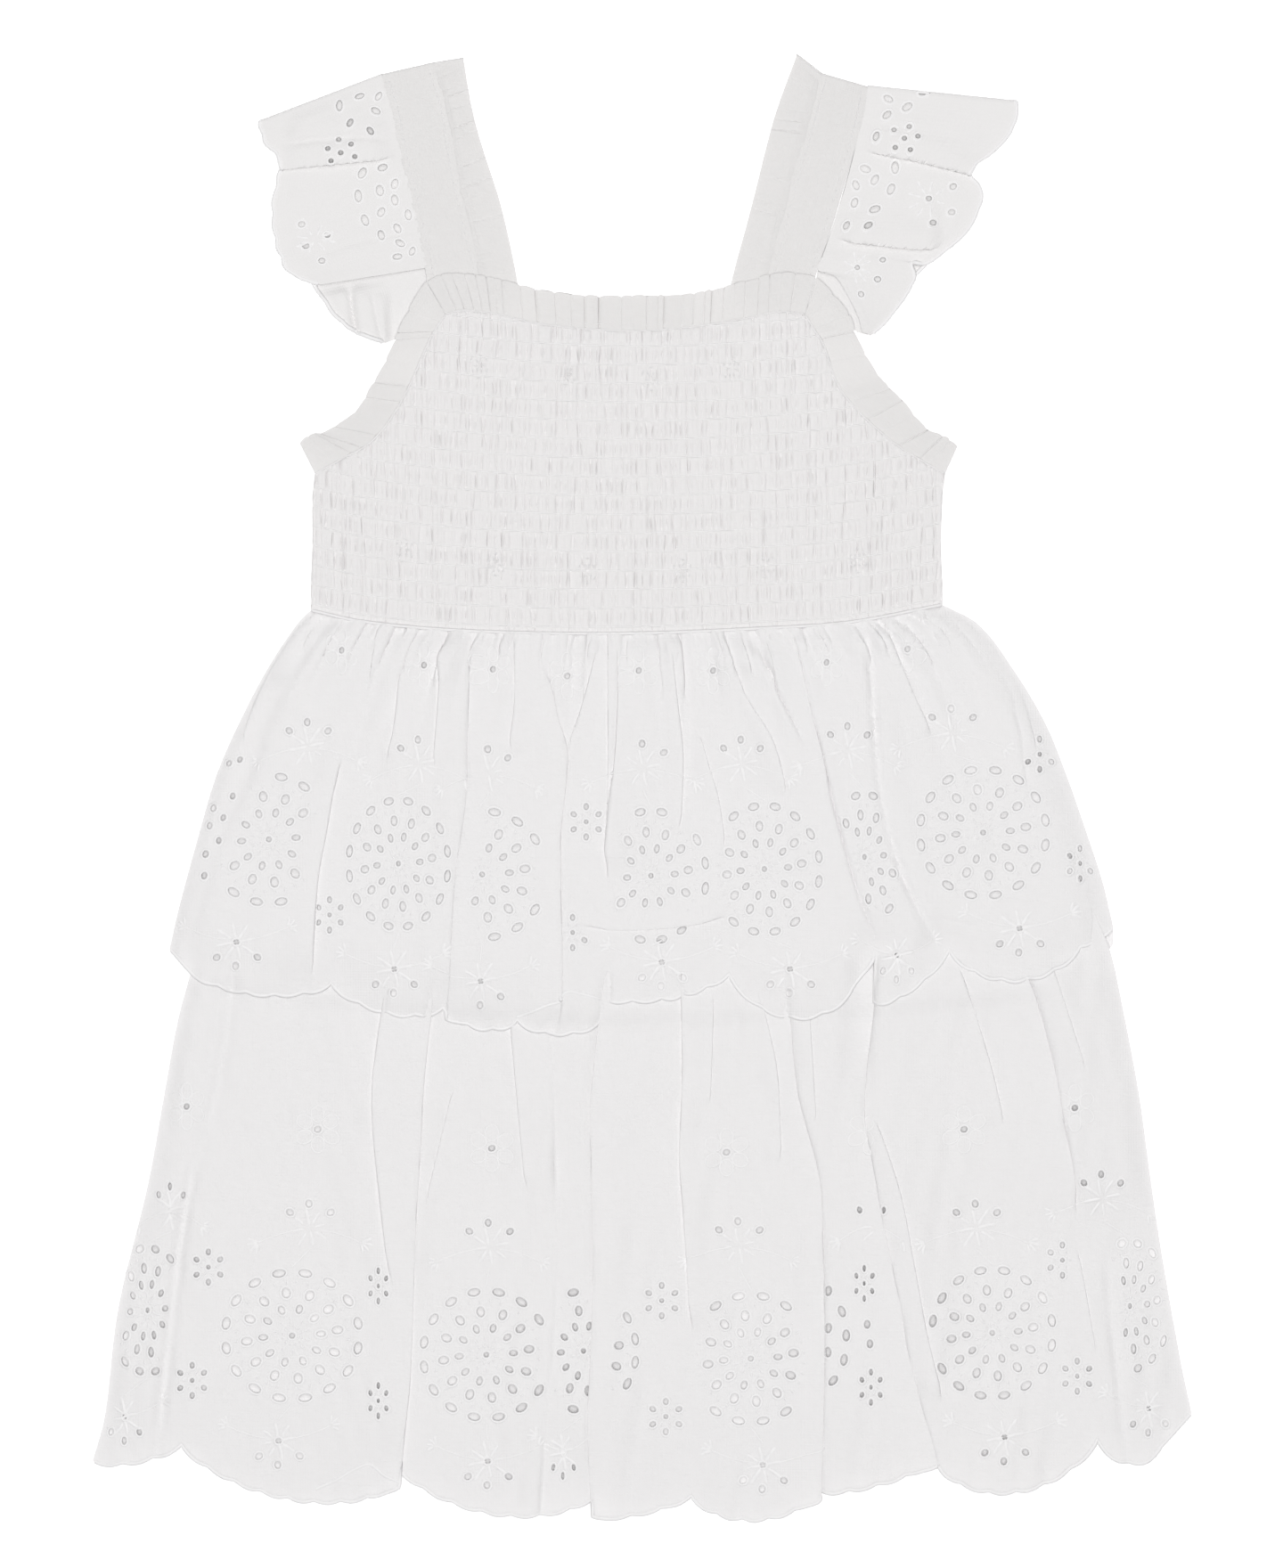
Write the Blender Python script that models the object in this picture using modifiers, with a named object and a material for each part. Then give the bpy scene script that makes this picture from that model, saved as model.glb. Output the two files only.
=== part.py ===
"""Toddler dress in white cutwork cotton, laid out flat on its back.

A shirred bodice with a frill round the neck and the armholes, two straps that fold over the
shoulder, each with an inner frill and an outer flutter sleeve, and a skirt of two gathered
tiers whose borders are pierced with rings of eyelets.

Frame: metres, +X to the right, +Y towards the neck, +Z up, the origin under the middle of the
dress on the surface it lies on. Left and right are as seen from the front. Lengths below are
in millimetres until a piece is placed.
"""
import math
from collections import namedtuple

import bmesh
import bpy
from mathutils import Vector
from mathutils.geometry import delaunay_2d_cdt

MM = 0.001

# Walls and the stack of layers, from the surface upwards.
CLOTH = 1.0
GAP = 0.3
LAYER = CLOTH + GAP
SMOCKED_WALL = 2.0
RIB_HEIGHT = 1.0
FOLD_LIMIT = 3.0
BACK_MIDDLE = CLOTH / 2
STRAP_MIDDLE = 2.0
SLEEVE_MIDDLE = 2.1
FRILL_MIDDLE = 3.4
UPPER_MIDDLE = BACK_MIDDLE + 3 * LAYER

# Repeats.
SMOCK_RIBS = 36
SMOCK_ROWS = 14
WAIST_GATHERS = 28
NECK_PLEATS = 24
ARMHOLE_PLEATS = 14
STRAP_PLEATS = 9
FRILL_PLEAT_HEIGHT = 1.2
GATHER_HEIGHT = 0.5
GATHER_REACH = 26.0
MEDALLION_HOLES = 16

# How far points stay from a panel's edges, eyelets, seams and creases.
EDGE_MARGIN = 2.2
HOLE_MARGIN = 1.3
HOLE_TO_EDGE = 4.5
SEAM_CLEARANCE = 0.5
CREASE_MARGIN = 2.6

# Spacing of the points inside a panel: beside a crease, and between the folds.
RIDGE_SPREAD = 1.6
RIDGE_OFFSET = 10.0
FILLER_STEP = 16
FINE_SPACE = 3.0
WIDE_SPACE = 9.5

# Outlines, as points (x, y), all counter-clockwise or from left to right.
WAIST = [(-122.5, 65.5), (-104.5, 61.5), (-75.5, 58.5), (-37.5, 57), (0.5, 57),
         (38.5, 58.5), (76.5, 61), (111.5, 67.5)]
NECK_SEAM = [(-72.5, 175), (-66, 176.5), (-53, 175), (-37.5, 171.5), (-18.5, 169.5),
             (0.5, 169), (19.5, 170.5), (38.5, 173.5), (51, 176), (60.5, 175)]
NECK_EDGE = [(-79.5, 187), (-71, 190), (-54, 188), (-38.5, 184), (-18.5, 181.5),
             (0.5, 181.5), (20, 182.5), (39, 187), (52, 190), (64.5, 188.5)]
ARMHOLE_SEAM_LEFT = [(-73.5, 175), (-76, 170), (-79.5, 163.5), (-86, 148.5), (-92.5, 137),
                     (-100.5, 127.5), (-110, 122), (-121, 116)]
ARMHOLE_EDGE_LEFT = [(-80.5, 186.5), (-89, 171), (-92, 162.5), (-99, 150), (-105.5, 139),
                     (-117, 131.5), (-122, 130.5), (-126.5, 127)]
ARMHOLE_SEAM_RIGHT = [(61.5, 175), (63.5, 170), (67.5, 163.5), (73, 148.5), (82.5, 137),
                      (93.5, 127.5), (103.5, 121), (112.5, 116)]
ARMHOLE_EDGE_RIGHT = [(71, 186), (77.5, 174), (80, 165.5), (88.5, 151), (95.5, 144),
                      (104.5, 133), (112, 129.5), (117, 126)]
BODICE_SIDE_LEFT = [(-122, 108), (-122, 90), (-122.5, 75)]
BODICE_SIDE_RIGHT = [(111.5, 108), (111, 90), (111.5, 75)]

# Sides of the two tiers: x at each height y, from the hem up.
UPPER_SIDE_LEFT = [(-60.5, -175), (-45, -171.5), (-15.5, -163.5), (4.5, -157.5), (24, -149),
                   (44, -138.5), (60.5, -127.5), (65.5, -122.5)]
UPPER_SIDE_RIGHT = [(-52.5, 175), (-35.5, 171), (-15.5, 164.5), (4.5, 157.5), (24, 149.5),
                    (44, 137.5), (60.5, 124.5), (67.5, 111.5)]
LOWER_SIDE_LEFT = [(-250, -203.5), (-233.5, -199), (-193.5, -194), (-147.5, -183),
                   (-114.5, -177), (-85, -171.5), (-62, -165), (-45, -158), (0, -138),
                   (58.5, -112)]
LOWER_SIDE_RIGHT = [(-232.5, 204), (-213.5, 200), (-174, 193), (-147.5, 189), (-114.5, 184.5),
                    (-85, 179), (-62, 174), (-52, 168), (-35, 158), (0, 138), (60.5, 102)]

# Hems: each scallop runs from one cusp to the next and hangs below their chord by sag.
Scallop = namedtuple("Scallop", "x0 y0 x1 y1 sag")
UPPER_HEM = [
    Scallop(-175, -60.5, -167.5, -68.5, 0),
    Scallop(-167.5, -68.5, -115, -73, 6),
    Scallop(-115, -73, -73.5, -85, 6),
    Scallop(-73.5, -85, -15, -87, 4.5),
    Scallop(-15, -87, 32.5, -69.5, 2),
    Scallop(32.5, -69.5, 78, -75, 13),
    Scallop(78, -75, 86, -63.5, 0),
    Scallop(86, -80, 114, -60.5, 4.5),
    Scallop(114, -60.5, 162.5, -59.5, 11.5),
    Scallop(162.5, -59.5, 175, -52.5, 1.5),
]
LOWER_HEM = [
    Scallop(-203.5, -250, -170.5, -244, 3),
    Scallop(-170.5, -244, -92, -259, 12),
    Scallop(-91.5, -251, -16, -261.5, 13),
    Scallop(-15, -270.5, 18.5, -263, 2),
    Scallop(18.5, -263, 66, -261, 9.5),
    Scallop(66, -261, 108.5, -250, 3),
    Scallop(108.5, -250, 169, -242, 15),
    Scallop(169, -242, 192.5, -245, 7),
    Scallop(192.5, -245, 204, -232.5, 0),
]

# The tiers' depth. The upper one's back ends at a plain hem, and the lower one steps down to
# the surface past it. Both turn down towards their sides, within the side reach.
BACK_HEM_MIDDLE = -76.0
BACK_HEM_RISE = 14.0
BACK_HEM_HALF = 175.0
BACK_STEP = 1.5
FRONT_STEP = 6.0
STEP_LENGTH = 8.0
UPPER_SIDE_REACH = 10.0
LOWER_SIDE_REACH = 9.0
LOWER_TOP_INSET = 10.0
LOWER_BACK_LIFT = 2.0
LOWER_BACK_WIDTH = 0.996
FOLDS_OPEN_FROM = -30.0
FOLDS_OPEN_OVER = 50.0

# The bodice: the top row of its shirring is parallel to the neck, and its back is a little
# smaller than its front.
SHIRRING_TOP = 170.0
SHIRRING_CURVE = 0.0009
BODICE_BACK_INSET = 0.6

# Folds. A fold runs down (its path gives x at each height y) or across (y at each x).
# before and after are the ridges' heights on its low and high side, crease the half width
# of its valley, reach how far the ridges die away, fade the length of its soft ends.
Fold = namedtuple("Fold", "name runs path before after crease reach fade")
UPPER_FOLDS = [
    Fold("side_left", "down", [(-75, -173), (-35.5, -160), (-15.5, -153.5), (7.5, -143.5),
                               (26.5, -137), (51.5, -122), (66, -108)], 0.2, 2.4, 3.5, 16, 10),
    Fold("soft_left", "down", [(-80, -123), (-35.5, -120.5), (-15.5, -117), (1, -114),
                               (16, -109)], 1.5, 0.4, 2.2, 12, 16),
    Fold("valley_left", "down", [(-96, -73), (-75, -70), (-33.5, -67.5), (-3.5, -63.5),
                                 (27.5, -63), (48, -62.5), (60, -62)], 2.6, 1.4, 2.0, 13, 14),
    Fold("valley_middle", "down", [(-96, -30.5), (-58.5, -30.5), (-19, -31), (12.5, -28.5),
                                   (27.5, -32.5), (50, -36)], 1.8, 2.0, 2.2, 12, 16),
    Fold("thin_middle", "down", [(-40, -13), (-2.5, -10.5), (14, -9), (37.5, -8), (58, -9)],
         0.8, 1.4, 1.6, 9, 16),
    Fold("join_right", "down", [(2, 67), (14, 61), (25.5, 55.5), (34, 51), (54, 42)],
         1.2, 0.3, 2.0, 9, 10),
    Fold("overlap_right", "down", [(-90, 86.5), (-56, 86), (-42.5, 81), (-17, 73.5),
                                   (14, 66), (30.5, 62), (47, 58.5), (62, 54)],
         3.0, 0.3, 1.8, 15, 10),
    Fold("valley_right", "down", [(-90, 120), (-58.5, 109), (-35.5, 97.5), (-5.5, 89),
                                  (27.5, 86), (62, 83.5)], 0.4, 2.2, 2.6, 14, 10),
    Fold("side_right", "down", [(-8, 145), (4.5, 142.5), (21, 140), (37.5, 135.5),
                                (54, 122), (64, 106)], 1.0, 0.6, 2.4, 8, 12),
    Fold("shelf", "across", [(-26, -51), (-6.5, -52), (13, -51), (36, -47)],
         0.3, 1.4, 1.8, 10, 14),
]
LOWER_FOLDS = [
    Fold("side_left", "down", [(-262, -180), (-239.5, -178.5), (-192, -173.5), (-152, -168),
                               (-112, -157.5), (-60, -150)], 1.0, 2.0, 3.4, 14, 12),
    Fold("thin_left", "down", [(-190, -92), (-151, -96.5), (-124.5, -99), (-104.5, -98.5),
                               (-60, -92)], 0.5, 1.4, 1.4, 9, 20),
    Fold("valley_left", "down", [(-275, -91), (-250, -90), (-218.5, -87), (-165, -85),
                                 (-131, -83), (-104.5, -81.5), (-60, -76)], 2.4, 1.6, 2.2, 13, 6),
    Fold("recess_left", "down", [(-280, -38), (-236.5, -35.5), (-203.5, -32.5), (-165, -31.5),
                                 (-121, -32.5), (-60, -35)], 1.9, 0.2, 2.2, 14, 6),
    Fold("recess_right", "down", [(-280, -16), (-236.5, -18), (-213.5, -17), (-177, -16),
                                  (-121, -17), (-98, -15), (-60, -11)], 0.2, 2.6, 2.2, 14, 6),
    Fold("thin_middle", "down", [(-205, 19), (-184, 18), (-160.5, 16.5), (-137.5, 15),
                                 (-104.5, 16), (-60, 15)], 0.8, 0.8, 1.4, 7, 14),
    Fold("valley_right", "down", [(-280, 65), (-210, 66.5), (-170.5, 66), (-144, 64.5),
                                  (-124.5, 59.5), (-109.5, 56), (-60, 52)],
         1.8, 1.4, 3.0, 12, 6),
    Fold("deep_right", "down", [(-275, 112), (-250, 108), (-217, 99), (-187, 93.5),
                                (-164, 88.5), (-137.5, 84), (-121, 81), (-85, 85), (-60, 87)],
         2.6, 1.2, 2.2, 14, 6),
    Fold("step_right", "down", [(-165, 162), (-141, 158.5), (-123, 155), (-108, 152.5),
                                (-91.5, 148.5), (-60, 140)], 2.2, 0.2, 2.0, 14, 14),
    Fold("side_right", "down", [(-270, 184), (-250, 180), (-203.5, 175), (-170, 172)],
         1.2, 0.8, 3.0, 9, 20),
]
SLEEVE_FOLDS_LEFT = [
    Fold("upper", "across", [(-145, 229), (-125, 230.5), (-110, 232), (-88, 234)],
         0.4, 2.0, 1.8, 9, 4),
    Fold("crown", "across", [(-138, 238), (-115, 242), (-92, 243.5)], 1.0, 0.6, 2.2, 8, 12),
    Fold("low", "across", [(-122, 196), (-100, 203), (-82, 206)], 0.8, 0.6, 2.4, 9, 14),
]
SLEEVE_FOLDS_RIGHT = [
    Fold("upper", "across", [(76, 237), (95, 234), (110, 230.5), (128, 226)],
         0.3, 1.8, 1.8, 9, 6),
    Fold("crown", "across", [(80, 246), (100, 243), (125, 238)], 0.8, 0.6, 2.2, 8, 12),
    Fold("low", "across", [(68, 204), (85, 202), (100, 200.5), (112, 200)],
         0.3, 2.0, 1.8, 9, 6),
]

# Rings of eyelets: centre, radii of the ring, and the folds between which its cloth shows.
Medallion = namedtuple("Medallion", "x y rx ry left right")
UPPER_MEDALLIONS = [
    Medallion(-138, -19.5, 23.5, 23.5, "side_left", "soft_left"),
    Medallion(-90, -28.5, 18.5, 23.5, "soft_left", "valley_left"),
    Medallion(-59, -32.5, 23.5, 23.5, "valley_left", "valley_middle"),
    Medallion(3.5, -33, 20.5, 24, "thin_middle", None),
    Medallion(45.5, -30.5, 20.5, 23.5, None, "overlap_right"),
    Medallion(82.5, -26, 16.5, 23, "overlap_right", "valley_right"),
    Medallion(126.5, -17, 23.5, 23.5, "valley_right", None),
]
LOWER_MEDALLIONS = [
    Medallion(-183, -194, 15, 23, None, "side_left"),
    Medallion(-129.5, -203.5, 25, 23.5, "side_left", "valley_left"),
    Medallion(-57.5, -210.5, 23.5, 23.5, "valley_left", "recess_left"),
    Medallion(-21.5, -209, 19.5, 22, "recess_left", None),
    Medallion(40.5, -212, 23.5, 23.5, "thin_middle", "valley_right"),
    Medallion(81, -205.5, 16, 23, "valley_right", "deep_right"),
    Medallion(130, -202.5, 22.5, 23.5, "deep_right", None),
    Medallion(181, -192.5, 15, 23.5, "side_right", None),
]
EYELET_LENGTH = 4.7
EYELET_WIDTH = 2.7

# Eyelets of the sleeves, one row each.
Eyelet = namedtuple("Eyelet", "x y length width turn")
SLEEVE_EYELETS_LEFT = [
    Eyelet(-112, 252.5, 4.4, 2.4, 90),
    Eyelet(-103.5, 227.5, 4.4, 2.8, 60),
    Eyelet(-105, 219, 4.6, 2.7, 95),
    Eyelet(-102.5, 210, 4.4, 2.7, 110),
    Eyelet(-97, 221, 4.1, 2.9, 100),
]
SLEEVE_EYELETS_RIGHT = [
    Eyelet(98.5, 252, 4.2, 2.6, 35),
    Eyelet(94, 229.5, 4.6, 2.8, 90),
    Eyelet(92.5, 221.5, 4.4, 2.7, 65),
    Eyelet(86.5, 214, 4.4, 2.7, 20),
    Eyelet(83, 229, 4.2, 2.7, -20),
]

# Folded pieces, by rows from the shoulder down: the inner and the outer edge's points.
# A turn is the share of a piece's length that goes round the shoulder.
STRAP_TURN = 0.2
SLEEVE_TURN = 0.03
SLEEVE_LENGTH = 170.0
SLEEVE_WIDTH = 45.0
Row = namedtuple("Row", "inner outer")
STRAP_LEFT = [
    Row((-78, 267.5), (-95.5, 263.5)),
    Row((-73, 252), (-91.5, 250)),
    Row((-70.5, 235.5), (-89, 237)),
    Row((-66.5, 215.5), (-84, 215.5)),
    Row((-61, 191.5), (-79, 191.5)),
    Row((-59.5, 177.4), (-77.5, 177.4)),
]
STRAP_RIGHT = [
    Row((67.5, 263.5), (83, 259)),
    Row((64, 252), (81.5, 250)),
    Row((60.5, 238.5), (79, 240)),
    Row((54, 215.5), (71.5, 214)),
    Row((48, 190.5), (63.5, 189)),
    Row((46, 177.4), (60.5, 177.4)),
]
STRAP_FRILL_LEFT = [
    Row((-77.6, 267.6), (-66, 269.5)),
    Row((-72.6, 252), (-63, 252)),
    Row((-70.1, 235.5), (-59, 237)),
    Row((-66.1, 215.5), (-52, 215)),
    Row((-60.6, 191.5), (-46.5, 190)),
    Row((-59.1, 177.4), (-45, 178)),
]
STRAP_FRILL_RIGHT = [
    Row((67.1, 263.6), (57.5, 271)),
    Row((63.6, 252), (50.5, 252)),
    Row((60.1, 238.5), (46.5, 238)),
    Row((53.6, 215.5), (40.5, 214)),
    Row((47.6, 190.5), (34, 190)),
    Row((45.6, 177.4), (31.5, 178)),
]
SLEEVE_FRONT_LEFT = [
    Row((-96.2, 263.5), (-142, 246)),
    Row((-94.3, 257), (-140, 239)),
    Row((-92.0, 248.5), (-134, 232)),
    Row((-89.6, 237), (-135, 226)),
    Row((-87.4, 228.5), (-137, 215.5)),
    Row((-84.4, 215.5), (-136.5, 205.5)),
    Row((-82.4, 207), (-134.5, 197.5)),
    Row((-80.7, 199), (-130.5, 190.5)),
    Row((-79.4, 192.4), (-119.5, 186)),
]
SLEEVE_BACK_LEFT = [
    Row((-96.2, 263.5), (-142, 246)),
    Row((-89.4, 237), (-136, 222)),
    Row((-84.4, 215.5), (-131, 203)),
    Row((-80.2, 197), (-123, 188)),
    Row((-79.8, 186), (-115, 176)),
    Row((-82.5, 177), (-107, 169)),
    Row((-88.5, 167), (-95, 164.5)),
]
SLEEVE_FRONT_RIGHT = [
    Row((83.8, 259.2), (139.5, 253.5)),
    Row((82.5, 250), (138.5, 244.5)),
    Row((80, 240), (129.5, 234.5)),
    Row((77.6, 230), (121.5, 228.5)),
    Row((75.3, 221.5), (125.5, 223)),
    Row((72.9, 214), (126, 215)),
    Row((70.6, 207), (119, 204)),
    Row((68.5, 200.5), (107, 194.5)),
    Row((67.2, 197), (100.5, 194)),
    Row((65.4, 191.5), (101.5, 188)),
    Row((72.5, 188.5), (96.5, 180)),
    Row((79.8, 175.5), (91, 173)),
    Row((81.8, 168.5), (85, 167.5)),
]
SLEEVE_BACK_RIGHT = [
    Row((83.8, 259.2), (139.5, 253.5)),
    Row((80, 240), (134, 236)),
    Row((72.9, 214), (121, 212)),
    Row((65.4, 191.5), (99, 186)),
    Row((66, 184), (93, 176)),
    Row((72, 176), (88, 170.5)),
    Row((80, 168.5), (84, 167.5)),
]

COTTON = (0.80, 0.79, 0.785, 1.0)
COTTON_ROUGHNESS = 0.85


# ---------------------------------------------------------------- curves and fields

def smooth_step(value):
    """0 below 0, 1 above 1, and a soft S between."""
    value = min(max(value, 0.0), 1.0)
    return value * value * (3 - 2 * value)


def value_at(knots, place):
    """Smooth value at a place between knots (place, value) in rising order."""
    if place <= knots[0][0]:
        return knots[0][1]
    if place >= knots[-1][0]:
        return knots[-1][1]
    index = next(i for i in range(len(knots) - 1) if place <= knots[i + 1][0])
    slopes = [slope_at(knots, i) for i in (index, index + 1)]
    (start, low), (end, high) = knots[index], knots[index + 1]
    span = end - start
    t = (place - start) / span
    return ((2 * t ** 3 - 3 * t ** 2 + 1) * low + (t ** 3 - 2 * t ** 2 + t) * span * slopes[0]
            + (3 * t ** 2 - 2 * t ** 3) * high + (t ** 3 - t ** 2) * span * slopes[1])


def slope_at(knots, index):
    """Slope of the curve at one knot, from its neighbours."""
    before = knots[max(index - 1, 0)]
    after = knots[min(index + 1, len(knots) - 1)]
    return (after[1] - before[1]) / (after[0] - before[0])


def point_on(path, t):
    """Point of a smooth path (x, y) at t from 0 to 1, counted by its own points."""
    place = t * (len(path) - 1)
    return tuple(value_at([(i, point[axis]) for i, point in enumerate(path)], place)
                 for axis in (0, 1))


def sampled(path, steps):
    """Points at even steps along a smooth path."""
    return [point_on(path, i / steps) for i in range(steps + 1)]


def waist_y(x):
    return value_at(WAIST, x)


def fold_height(fold, x, y):
    """Height that one fold lifts the cloth at a point."""
    place, cross = (y, x) if fold.runs == "down" else (x, y)
    ends = (place - fold.path[0][0], fold.path[-1][0] - place)
    window = smooth_step(ends[0] / fold.fade) * smooth_step(ends[1] / fold.fade)
    if window == 0:
        return 0.0
    offset = cross - value_at(fold.path, place)
    side = fold.after if offset > 0 else fold.before
    rise = 1 - math.exp(-(offset / fold.crease) ** 2)
    return window * side * rise * math.exp(-abs(offset) / fold.reach)


def folds_height(folds, x, y):
    """Height of all folds together, which never passes FOLD_LIMIT."""
    total = sum(fold_height(fold, x, y) for fold in folds)
    return FOLD_LIMIT * (1 - math.exp(-total / FOLD_LIMIT))


def side_reach(x, y, left, right, reach):
    """0 at a tier's side edges, 1 further in than reach."""
    inset = min(x - value_at(left, y), value_at(right, y) - x)
    return smooth_step(inset / reach)


def back_hem_y(x):
    return BACK_HEM_MIDDLE + BACK_HEM_RISE * (x / BACK_HEM_HALF) ** 2


def lower_freedom(y):
    """How far the lower tier's folds have opened: from 0 high under the upper tier to 1."""
    return smooth_step((FOLDS_OPEN_FROM - y) / FOLDS_OPEN_OVER)


def past_back_hem(x, y, start):
    """1 over the upper tier's back, 0 beyond its hem, stepping down from start on."""
    return smooth_step((y - back_hem_y(x) + start + STEP_LENGTH) / STEP_LENGTH)


def lower_back_middle(x, y):
    """The lower tier's back lies on the upper one's, then steps down past its hem."""
    return BACK_MIDDLE + LAYER * past_back_hem(x, y, BACK_STEP)


def lower_front_middle(x, y):
    sides = side_reach(x, y, LOWER_SIDE_LEFT, LOWER_SIDE_RIGHT, LOWER_SIDE_REACH)
    folds = folds_height(LOWER_FOLDS, x, y) * lower_freedom(y) * sides
    return BACK_MIDDLE + LAYER * (1 + past_back_hem(x, y, FRONT_STEP)) + folds


def waist_gather(x, y):
    """Small pleats where a tier is gathered into the waist, dying away below it."""
    left = value_at(UPPER_SIDE_LEFT, y)
    share = (x - left) / (value_at(UPPER_SIDE_RIGHT, y) - left)
    fall = smooth_step(1 - (waist_y(x) - y) / GATHER_REACH)
    return GATHER_HEIGHT * fall * math.cos(2 * math.pi * WAIST_GATHERS * share)


def upper_front_middle(x, y):
    """The upper tier rides over the lower one and turns down to the back at its sides."""
    edge = BACK_MIDDLE + LAYER
    top = UPPER_MIDDLE + (FOLD_LIMIT + GAP) * lower_freedom(y)
    top += folds_height(UPPER_FOLDS, x, y) + waist_gather(x, y) + GATHER_HEIGHT
    sides = side_reach(x, y, UPPER_SIDE_LEFT, UPPER_SIDE_RIGHT, UPPER_SIDE_REACH)
    return edge + (top - edge) * sides


# ---------------------------------------------------------------- outlines and points

def hem_points(hem, per_scallop):
    """Points along a scalloped hem, from left to right."""
    points = []
    for row in hem:
        steps = per_scallop if abs(row.x1 - row.x0) > 20 else max(per_scallop // 3, 1)
        for i in range(steps + 1):
            t = i / steps
            hang = row.sag * (4 * t * (1 - t)) ** 0.8
            point = (row.x0 + (row.x1 - row.x0) * t, row.y0 + (row.y1 - row.y0) * t - hang)
            if not points or math.dist(point, points[-1]) > 0.4:
                points.append(point)
    return points


def tier_outline(top, left, right, hem, rows):
    """A tier's outline, counter-clockwise from its top left: side, hem, side and top."""
    lefts = [(value_at(left, y), y) for y in rows if y > hem[0][1] + 3]
    rights = [(value_at(right, y), y) for y in reversed(rows) if y > hem[-1][1] + 3]
    return lefts + hem + rights + top[::-1]


def inside(outline, x, y):
    """Whether a point lies inside a closed outline."""
    found = False
    for (x0, y0), (x1, y1) in zip(outline, outline[1:] + outline[:1]):
        if (y0 > y) != (y1 > y) and x < x0 + (x1 - x0) * (y - y0) / (y1 - y0):
            found = not found
    return found


def edge_distance(outline, x, y):
    """Distance from a point to the nearest stretch of an outline."""
    best = math.inf
    for (x0, y0), (x1, y1) in zip(outline, outline[1:] + outline[:1]):
        dx, dy = x1 - x0, y1 - y0
        t = min(max(((x - x0) * dx + (y - y0) * dy) / (dx * dx + dy * dy), 0), 1)
        best = min(best, math.hypot(x - x0 - t * dx, y - y0 - t * dy))
    return best


def eyelet_loop(x, y, length, width, turn):
    """A six-sided lens, the outline of one eyelet, its long axis turned by radians."""
    corners = [(0.5, 0), (0.24, 0.5), (-0.24, 0.5), (-0.5, 0), (-0.24, -0.5), (0.24, -0.5)]
    cos, sin = math.cos(turn), math.sin(turn)
    return [(x + a * length * cos - b * width * sin, y + a * length * sin + b * width * cos)
            for a, b in corners]


def medallion_loops(medallions, folds, outline):
    """The outer ring of eyelets of each medallion, where its cloth shows."""
    by_name = {fold.name: fold for fold in folds}
    crossings = [fold for fold in folds if fold.runs == "across"]
    loops = []
    for ring in medallions:
        for i in range(MEDALLION_HOLES):
            angle = 2 * math.pi * (i + 0.5) / MEDALLION_HOLES
            x = ring.x + ring.rx * math.cos(angle)
            y = ring.y + ring.ry * math.sin(angle)
            turn = math.atan2(ring.ry * math.cos(angle), -ring.rx * math.sin(angle))
            width = abs(EYELET_WIDTH * math.sin(turn)) + abs(EYELET_LENGTH * math.cos(turn))
            low = value_at(by_name[ring.left].path, y) if ring.left else -math.inf
            high = value_at(by_name[ring.right].path, y) if ring.right else math.inf
            clear = low + CREASE_MARGIN < x - width / 2 and x + width / 2 < high - CREASE_MARGIN
            for fold in crossings:
                if fold.path[0][0] < x < fold.path[-1][0]:
                    clear = clear and abs(y - value_at(fold.path, x)) > CREASE_MARGIN
            if clear and inside(outline, x, y) and edge_distance(outline, x, y) > HOLE_TO_EDGE:
                loops.append(eyelet_loop(x, y, EYELET_LENGTH, EYELET_WIDTH, turn))
    return loops


def fold_points(folds, rows, outline):
    """Creases as chains of points, and the points on the ridges beside them."""
    creases = []
    ridges = []
    for fold in folds:
        chain = []
        first, last = fold.path[0][0], fold.path[-1][0]
        places = rows
        if fold.runs == "across":
            places = [first + (last - first) * i / 4 for i in range(5)]
        for place in places:
            if not first <= place <= last:
                continue
            middle = value_at(fold.path, place)
            near = RIDGE_SPREAD * fold.crease
            for offset in (-RIDGE_OFFSET, -near, 0, near, RIDGE_OFFSET):
                cross = middle + offset
                point = (cross, place) if fold.runs == "down" else (place, cross)
                if not inside(outline, *point) or edge_distance(outline, *point) < EDGE_MARGIN:
                    continue
                if offset == 0:
                    chain.append(point)
                else:
                    ridges.append(point)
        creases.append(chain)
    return creases, ridges


def spaced(points, taken, outline, loops, space):
    """Points that keep clear of the outline, the eyelets and those already taken."""
    kept = list(taken)
    for x, y in points:
        if not inside(outline, x, y) or edge_distance(outline, x, y) < EDGE_MARGIN:
            continue
        if any(edge_distance(loop, x, y) < HOLE_MARGIN or inside(loop, x, y) for loop in loops):
            continue
        if all(math.hypot(x - a, y - b) > space for a, b in kept):
            kept.append((x, y))
    return kept[len(taken):]


# ---------------------------------------------------------------- meshes

def cotton(name):
    """White cotton, one material for each piece."""
    material = bpy.data.materials.new(name + "_cotton")
    material.use_nodes = True
    shader = material.node_tree.nodes["Principled BSDF"]
    shader.inputs["Base Color"].default_value = COTTON
    shader.inputs["Roughness"].default_value = COTTON_ROUGHNESS
    return material


def add_piece(name, mesh, collection, wall=None):
    """Put a mesh in the scene as one named piece, with a wall if it is an open surface."""
    piece = bpy.data.objects.new(name, mesh)
    collection.objects.link(piece)
    mesh.materials.append(cotton(name))
    mesh.shade_smooth()
    if wall:
        solidify = piece.modifiers.new("wall", "SOLIDIFY")
        solidify.thickness = wall * MM
        solidify.offset = 0
        solidify.use_quality_normals = True
    return piece


def counter_clockwise(loop):
    """The loop, turned round if it runs clockwise."""
    area = sum(x0 * y1 - x1 * y0 for (x0, y0), (x1, y1) in zip(loop, loop[1:] + loop[:1]))
    return loop if area > 0 else loop[::-1]


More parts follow.
